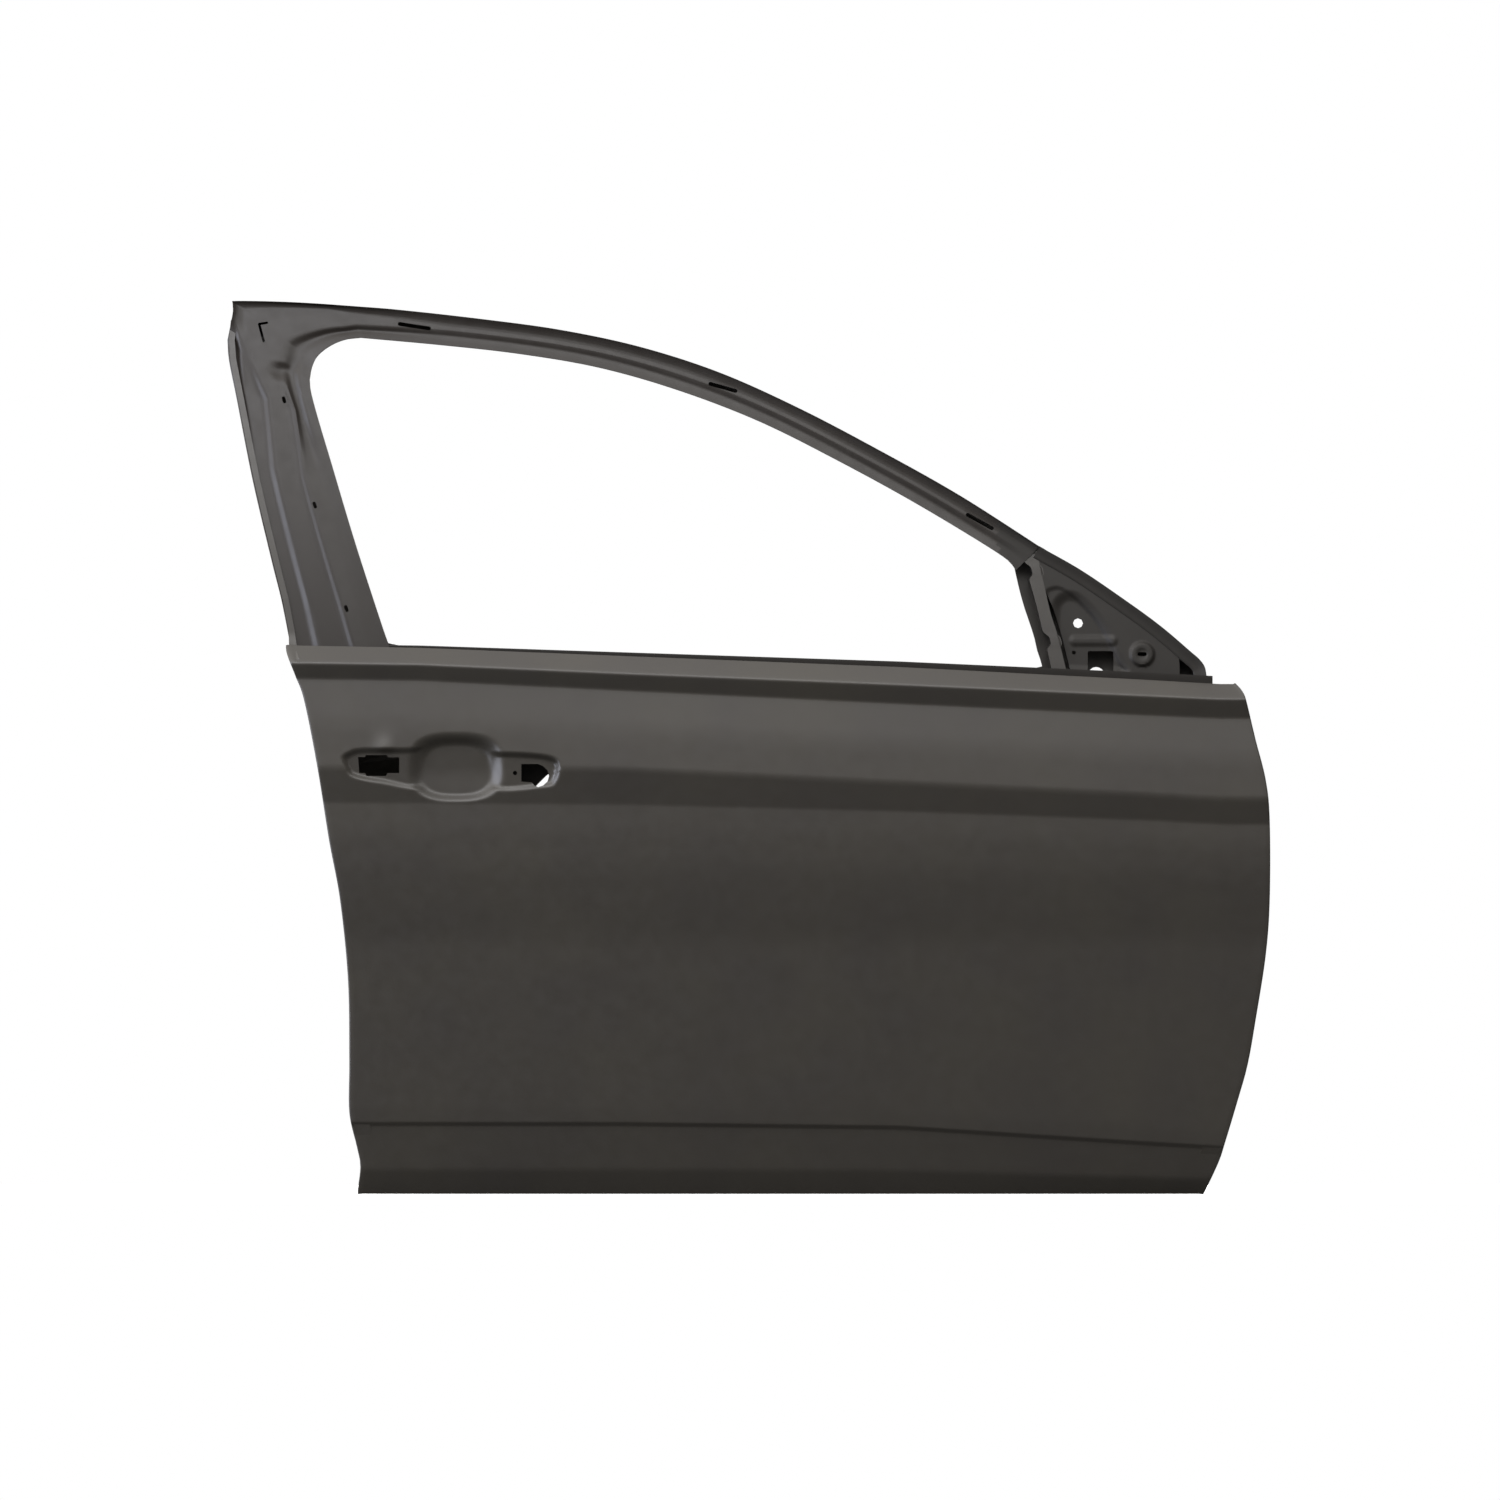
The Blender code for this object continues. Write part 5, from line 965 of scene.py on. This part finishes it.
class DOOR_OT_pressings(bpy.types.Operator):
    """Finish the pressings and fixings behind the skin, in the shape that the frame gives them."""

    bl_idname = "door.pressings"
    bl_label = "Inner pressings"

    def execute(self, context):
        shown = {"outer_panel", "window_frame_outer", "mirror_reinforcement", "front_sash",
                 "belt_reinforcement_outer"}
        for name in sorted(set(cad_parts) - shown):
            if name.startswith("weld_nut"):
                finish, slot = "zinc", "weld_nut"
            elif name.startswith("damping_pad"):
                finish, slot = "mastic", "mastic"
            else:
                finish, slot = "primer", "primer"
            mesh = bmesh.new()
            mesh.from_mesh(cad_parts[name].data)
            bmesh.ops.remove_doubles(mesh, verts=mesh.verts[:], dist=0.01 * MM)
            bmesh.ops.dissolve_limit(mesh, angle_limit=math.radians(0.05), verts=mesh.verts[:],
                                     edges=mesh.edges[:])
            bmesh.ops.recalc_face_normals(mesh, faces=mesh.faces[:])
            for face in mesh.faces:
                face.material_index = 0
            bmesh.ops.translate(mesh, vec=Vector(PLAN_ORIGIN), verts=mesh.verts[:])
            if name == "inner_panel":
                self.round_window(mesh)
            made = to_object(name + "_finished", mesh)
            made.data.materials.append(coat(finish))
            finish_piece(made, name, angle=18.0)
            shading = made.modifiers.new("Shading", "WEIGHTED_NORMAL")
            shading.keep_sharp = True
        finish_piece(self.lock_backing(), "handle_reinforcement")
        return {"FINISHED"}

    def round_window(self, mesh):
        """Draw the inner panel's window edge back behind the frame's, and move the mirror's rear hole."""
        lines = [smooth_line(plan(inner), 300)[:-1] for _, inner, _ in FRAME_RUNS]
        window = np.vstack(lines + [even_line(plan(SASH_WINDOW)[::-1], 300)])
        outwards = sideways(window)
        for _ in range(4):
            edges = [edge for edge in mesh.edges
                     if edge.calc_length() > LONG_EDGE and self.shows(window, outwards, edge)]
            bmesh.ops.subdivide_edges(mesh, edges=edges, cuts=2)
        for vertex in mesh.verts:
            found = self.drawn_back(window, outwards, vertex.co)
            if found and found[1] < WINDOW_MARGIN:
                vertex.co.x, vertex.co.z = window[found[0]] + outwards[found[0]] * WINDOW_MARGIN
        bmesh.ops.triangulate(mesh, faces=[face for face in mesh.faces if len(face.verts) > 4])
        hole = plan(MIRROR_BACK_HOLE)
        for vertex in mesh.verts:
            if math.hypot(vertex.co.x - hole[0], vertex.co.z - hole[1]) < MIRROR_BACK_REACH:
                vertex.co.x -= MIRROR_BACK_SHIFT[0]
                vertex.co.z -= MIRROR_BACK_SHIFT[1]

    def shows(self, window, outwards, edge):
        """Whether an edge near the window's line has its middle less than the margin outside it."""
        ends = [self.drawn_back(window, outwards, vertex.co) for vertex in edge.verts]
        middle = self.drawn_back(window, outwards, (edge.verts[0].co + edge.verts[1].co) / 2)
        return None not in ends and middle is not None and middle[1] < WINDOW_MARGIN

    def drawn_back(self, window, outwards, place):
        """Nearest point's number and the gap outside the line, for a place near it; None for others."""
        if place.z < WINDOW_FOOT * HEIGHT:
            return None
        gaps = np.hypot(window[:, 0] - place.x, window[:, 1] - place.z)
        nearest = int(gaps.argmin())
        if gaps[nearest] > WINDOW_REACH:
            return None
        return nearest, float(np.dot((place.x, place.z) - window[nearest], outwards[nearest]))

    def lock_backing(self):
        """Tray of the handle's bracket behind the lock opening, with one corner cut off."""
        mesh = prism(plan(LOCK_BACKING), *LOCK_BACKING_DEPTHS)
        front = min(mesh.faces, key=lambda face: face.calc_center_median().y)
        bmesh.ops.delete(mesh, geom=[front], context="FACES_ONLY")
        backing = to_object("lock_backing", mesh)
        # The tray takes the darker coat: painted shade for the dark inside of the door behind the opening
        backing.data.materials.append(coat("shaded_primer"))
        thicken(backing, LOCK_BACKING_SHEET)
        keep_modified(backing)
        return backing


class DOOR_OT_stage(bpy.types.Operator):
    """Build the pale floor, the soft lights and the camera."""

    bl_idname = "door.stage"
    bl_label = "Stage"

    def execute(self, context):
        mesh = bmesh.new()
        bmesh.ops.create_grid(mesh, x_segments=2, y_segments=2, size=FLOOR_HALF)
        level = CAD_BOX[0].z - FLOOR_GAP
        bmesh.ops.translate(mesh, vec=(FLOOR_MIDDLE, 0.0, level), verts=mesh.verts[:])
        data = bpy.data.meshes.new("floor")
        mesh.to_mesh(data)
        mesh.free()
        floor = bpy.data.objects.new("floor", data)
        context.scene.collection.objects.link(floor)
        data.materials.append(self.floor_finish(context.scene.door_finishes))
        self.lights(context.scene)
        self.background(context.scene)
        camera = bpy.data.cameras.new("camera")
        camera.lens = SENSOR_MM * CAMERA_DISTANCE / (PHOTO_WIDTH * PIXEL_MM * MM)
        camera.sensor_width = SENSOR_MM
        camera.clip_end = 5 * CAMERA_DISTANCE
        viewer = bpy.data.objects.new("camera", camera)
        across = (PHOTO_WIDTH / 2 - PHOTO_ORIGIN[0]) * PIXEL_MM * MM
        up = (PHOTO_ORIGIN[1] - PHOTO_WIDTH / 2) * PIXEL_MM * MM
        middle = np.array((across, 0.0, up)) - PLAN_ORIGIN
        viewer.location = Vector(middle) + Vector((0.0, -CAMERA_DISTANCE, 0.0))
        viewer.rotation_euler = (math.radians(90), 0.0, 0.0)
        context.scene.collection.objects.link(viewer)
        context.scene.camera = viewer
        context.scene.view_settings.view_transform = "Standard"
        return {"FINISHED"}

    def lights(self, scene):
        for name, place, target, size, power, colour, diffuse in LIGHTS:
            lamp = bpy.data.lights.new(name, "AREA")
            lamp.shape = "RECTANGLE"
            lamp.size, lamp.size_y = size
            lamp.energy = power
            lamp.color = seen(colour)[:3]
            holder = bpy.data.objects.new(name, lamp)
            holder.location = place
            holder.rotation_euler = (Vector(target) - Vector(place)).to_track_quat("-Z", "Y").to_euler()
            holder.visible_diffuse = diffuse
            scene.collection.objects.link(holder)

    def floor_finish(self, finishes):
        # Matt seamless paper: white to the camera but for the door's soft shadow, and a dim light from below
        material = bpy.data.materials.new("matt_paper_floor")
        tree = cleared_tree(material)
        paper = add_node(tree, "BsdfDiffuse", {"Color": seen(finishes.floor)})
        glow = add_node(tree, "Emission", {"Color": WHITE, "Strength": FLOOR_GLOW})
        lit = add_node(tree, "AddShader", {0: paper.outputs[0], 1: glow.outputs[0]})
        dim = add_node(tree, "BsdfDiffuse", {"Color": seen(FLOOR_FROM_DOOR)})
        show_camera(tree, "OutputMaterial", lit, dim)
        return material

    def levels(self, tree, value, table):
        """Brightness that a table gives for a direction's part along one axis, from -1 to 1."""
        share = add_node(tree, "MapRange", {"Value": value, "From Min": -1.0, "From Max": 1.0})
        ramp = add_node(tree, "ValToRGB", {"Fac": share.outputs["Result"]})
        stops = ramp.color_ramp.elements
        for place, _ in table[1:-1]:
            stops.new(place)
        for stop, (place, level) in zip(stops, table):
            stop.position = place
            stop.color = (level, level, level, 1.0)
        return ramp.outputs["Color"]

    def background(self, scene):
        """Plain studio: brighter above and before the door, dim behind it, and white to the camera."""
        world = bpy.data.worlds.new("studio")
        tree = cleared_tree(world)
        way = add_node(tree, "TexCoord").outputs["Generated"]
        part = add_node(tree, "SeparateXYZ", {"Vector": way})
        height = self.levels(tree, part.outputs["Z"], SKY_LEVELS)
        side = self.levels(tree, part.outputs["X"], SIDE_LEVELS)
        front = add_node(tree, "MapRange", {
            "Value": part.outputs["Y"], "From Min": LEVEL_TURN[0], "From Max": LEVEL_TURN[1],
            "To Min": FRONT_LEVEL, "To Max": BACK_LEVEL}, {"interpolation_type": "SMOOTHSTEP"})
        times = {"operation": "MULTIPLY"}
        level = add_node(tree, "Math", {0: height, 1: front.outputs["Result"]}, times)
        strength = add_node(tree, "Math", {0: level.outputs["Value"], 1: side}, times)
        room = add_node(tree, "Background", {
            "Color": seen(ROOM_TINT), "Strength": strength.outputs["Value"]})
        white = add_node(tree, "Background", {"Color": WHITE, "Strength": 1.0})
        show_camera(tree, "OutputWorld", white, room)
        scene.world = world


OPERATORS = (DOOR_OT_skin, DOOR_OT_window_frame, DOOR_OT_mirror_corner, DOOR_OT_sash, DOOR_OT_belt_strip,
             DOOR_OT_pressings, DOOR_OT_stage)


class DOOR_PT_panel(bpy.types.Panel):
    """Lists the door's pieces and their sizes in the sidebar."""

    bl_label = "Door shell"
    bl_idname = "DOOR_PT_panel"
    bl_space_type = "VIEW_3D"
    bl_region_type = "UI"
    bl_category = "Door shell"

    def draw(self, context):
        for group in (context.scene.door_sizes, context.scene.door_finishes):
            for name in group.__annotations__:
                self.layout.prop(group, name)
        for operator in OPERATORS:
            self.layout.operator(operator.bl_idname)


CLASSES = (DoorSizes, DoorFinishes, *OPERATORS, DOOR_PT_panel)


def register():
    for item in CLASSES:
        bpy.utils.register_class(item)
    bpy.types.Scene.door_sizes = bpy.props.PointerProperty(type=DoorSizes)
    bpy.types.Scene.door_finishes = bpy.props.PointerProperty(type=DoorFinishes)


def unregister():
    del bpy.types.Scene.door_finishes
    del bpy.types.Scene.door_sizes
    for item in reversed(CLASSES):
        bpy.utils.unregister_class(item)


def main():
    register()
    for build in (bpy.ops.door.skin, bpy.ops.door.window_frame, bpy.ops.door.mirror_corner, bpy.ops.door.sash,
                  bpy.ops.door.belt_strip, bpy.ops.door.pressings, bpy.ops.door.stage):
        build()


if __name__ == "__main__":
    main()
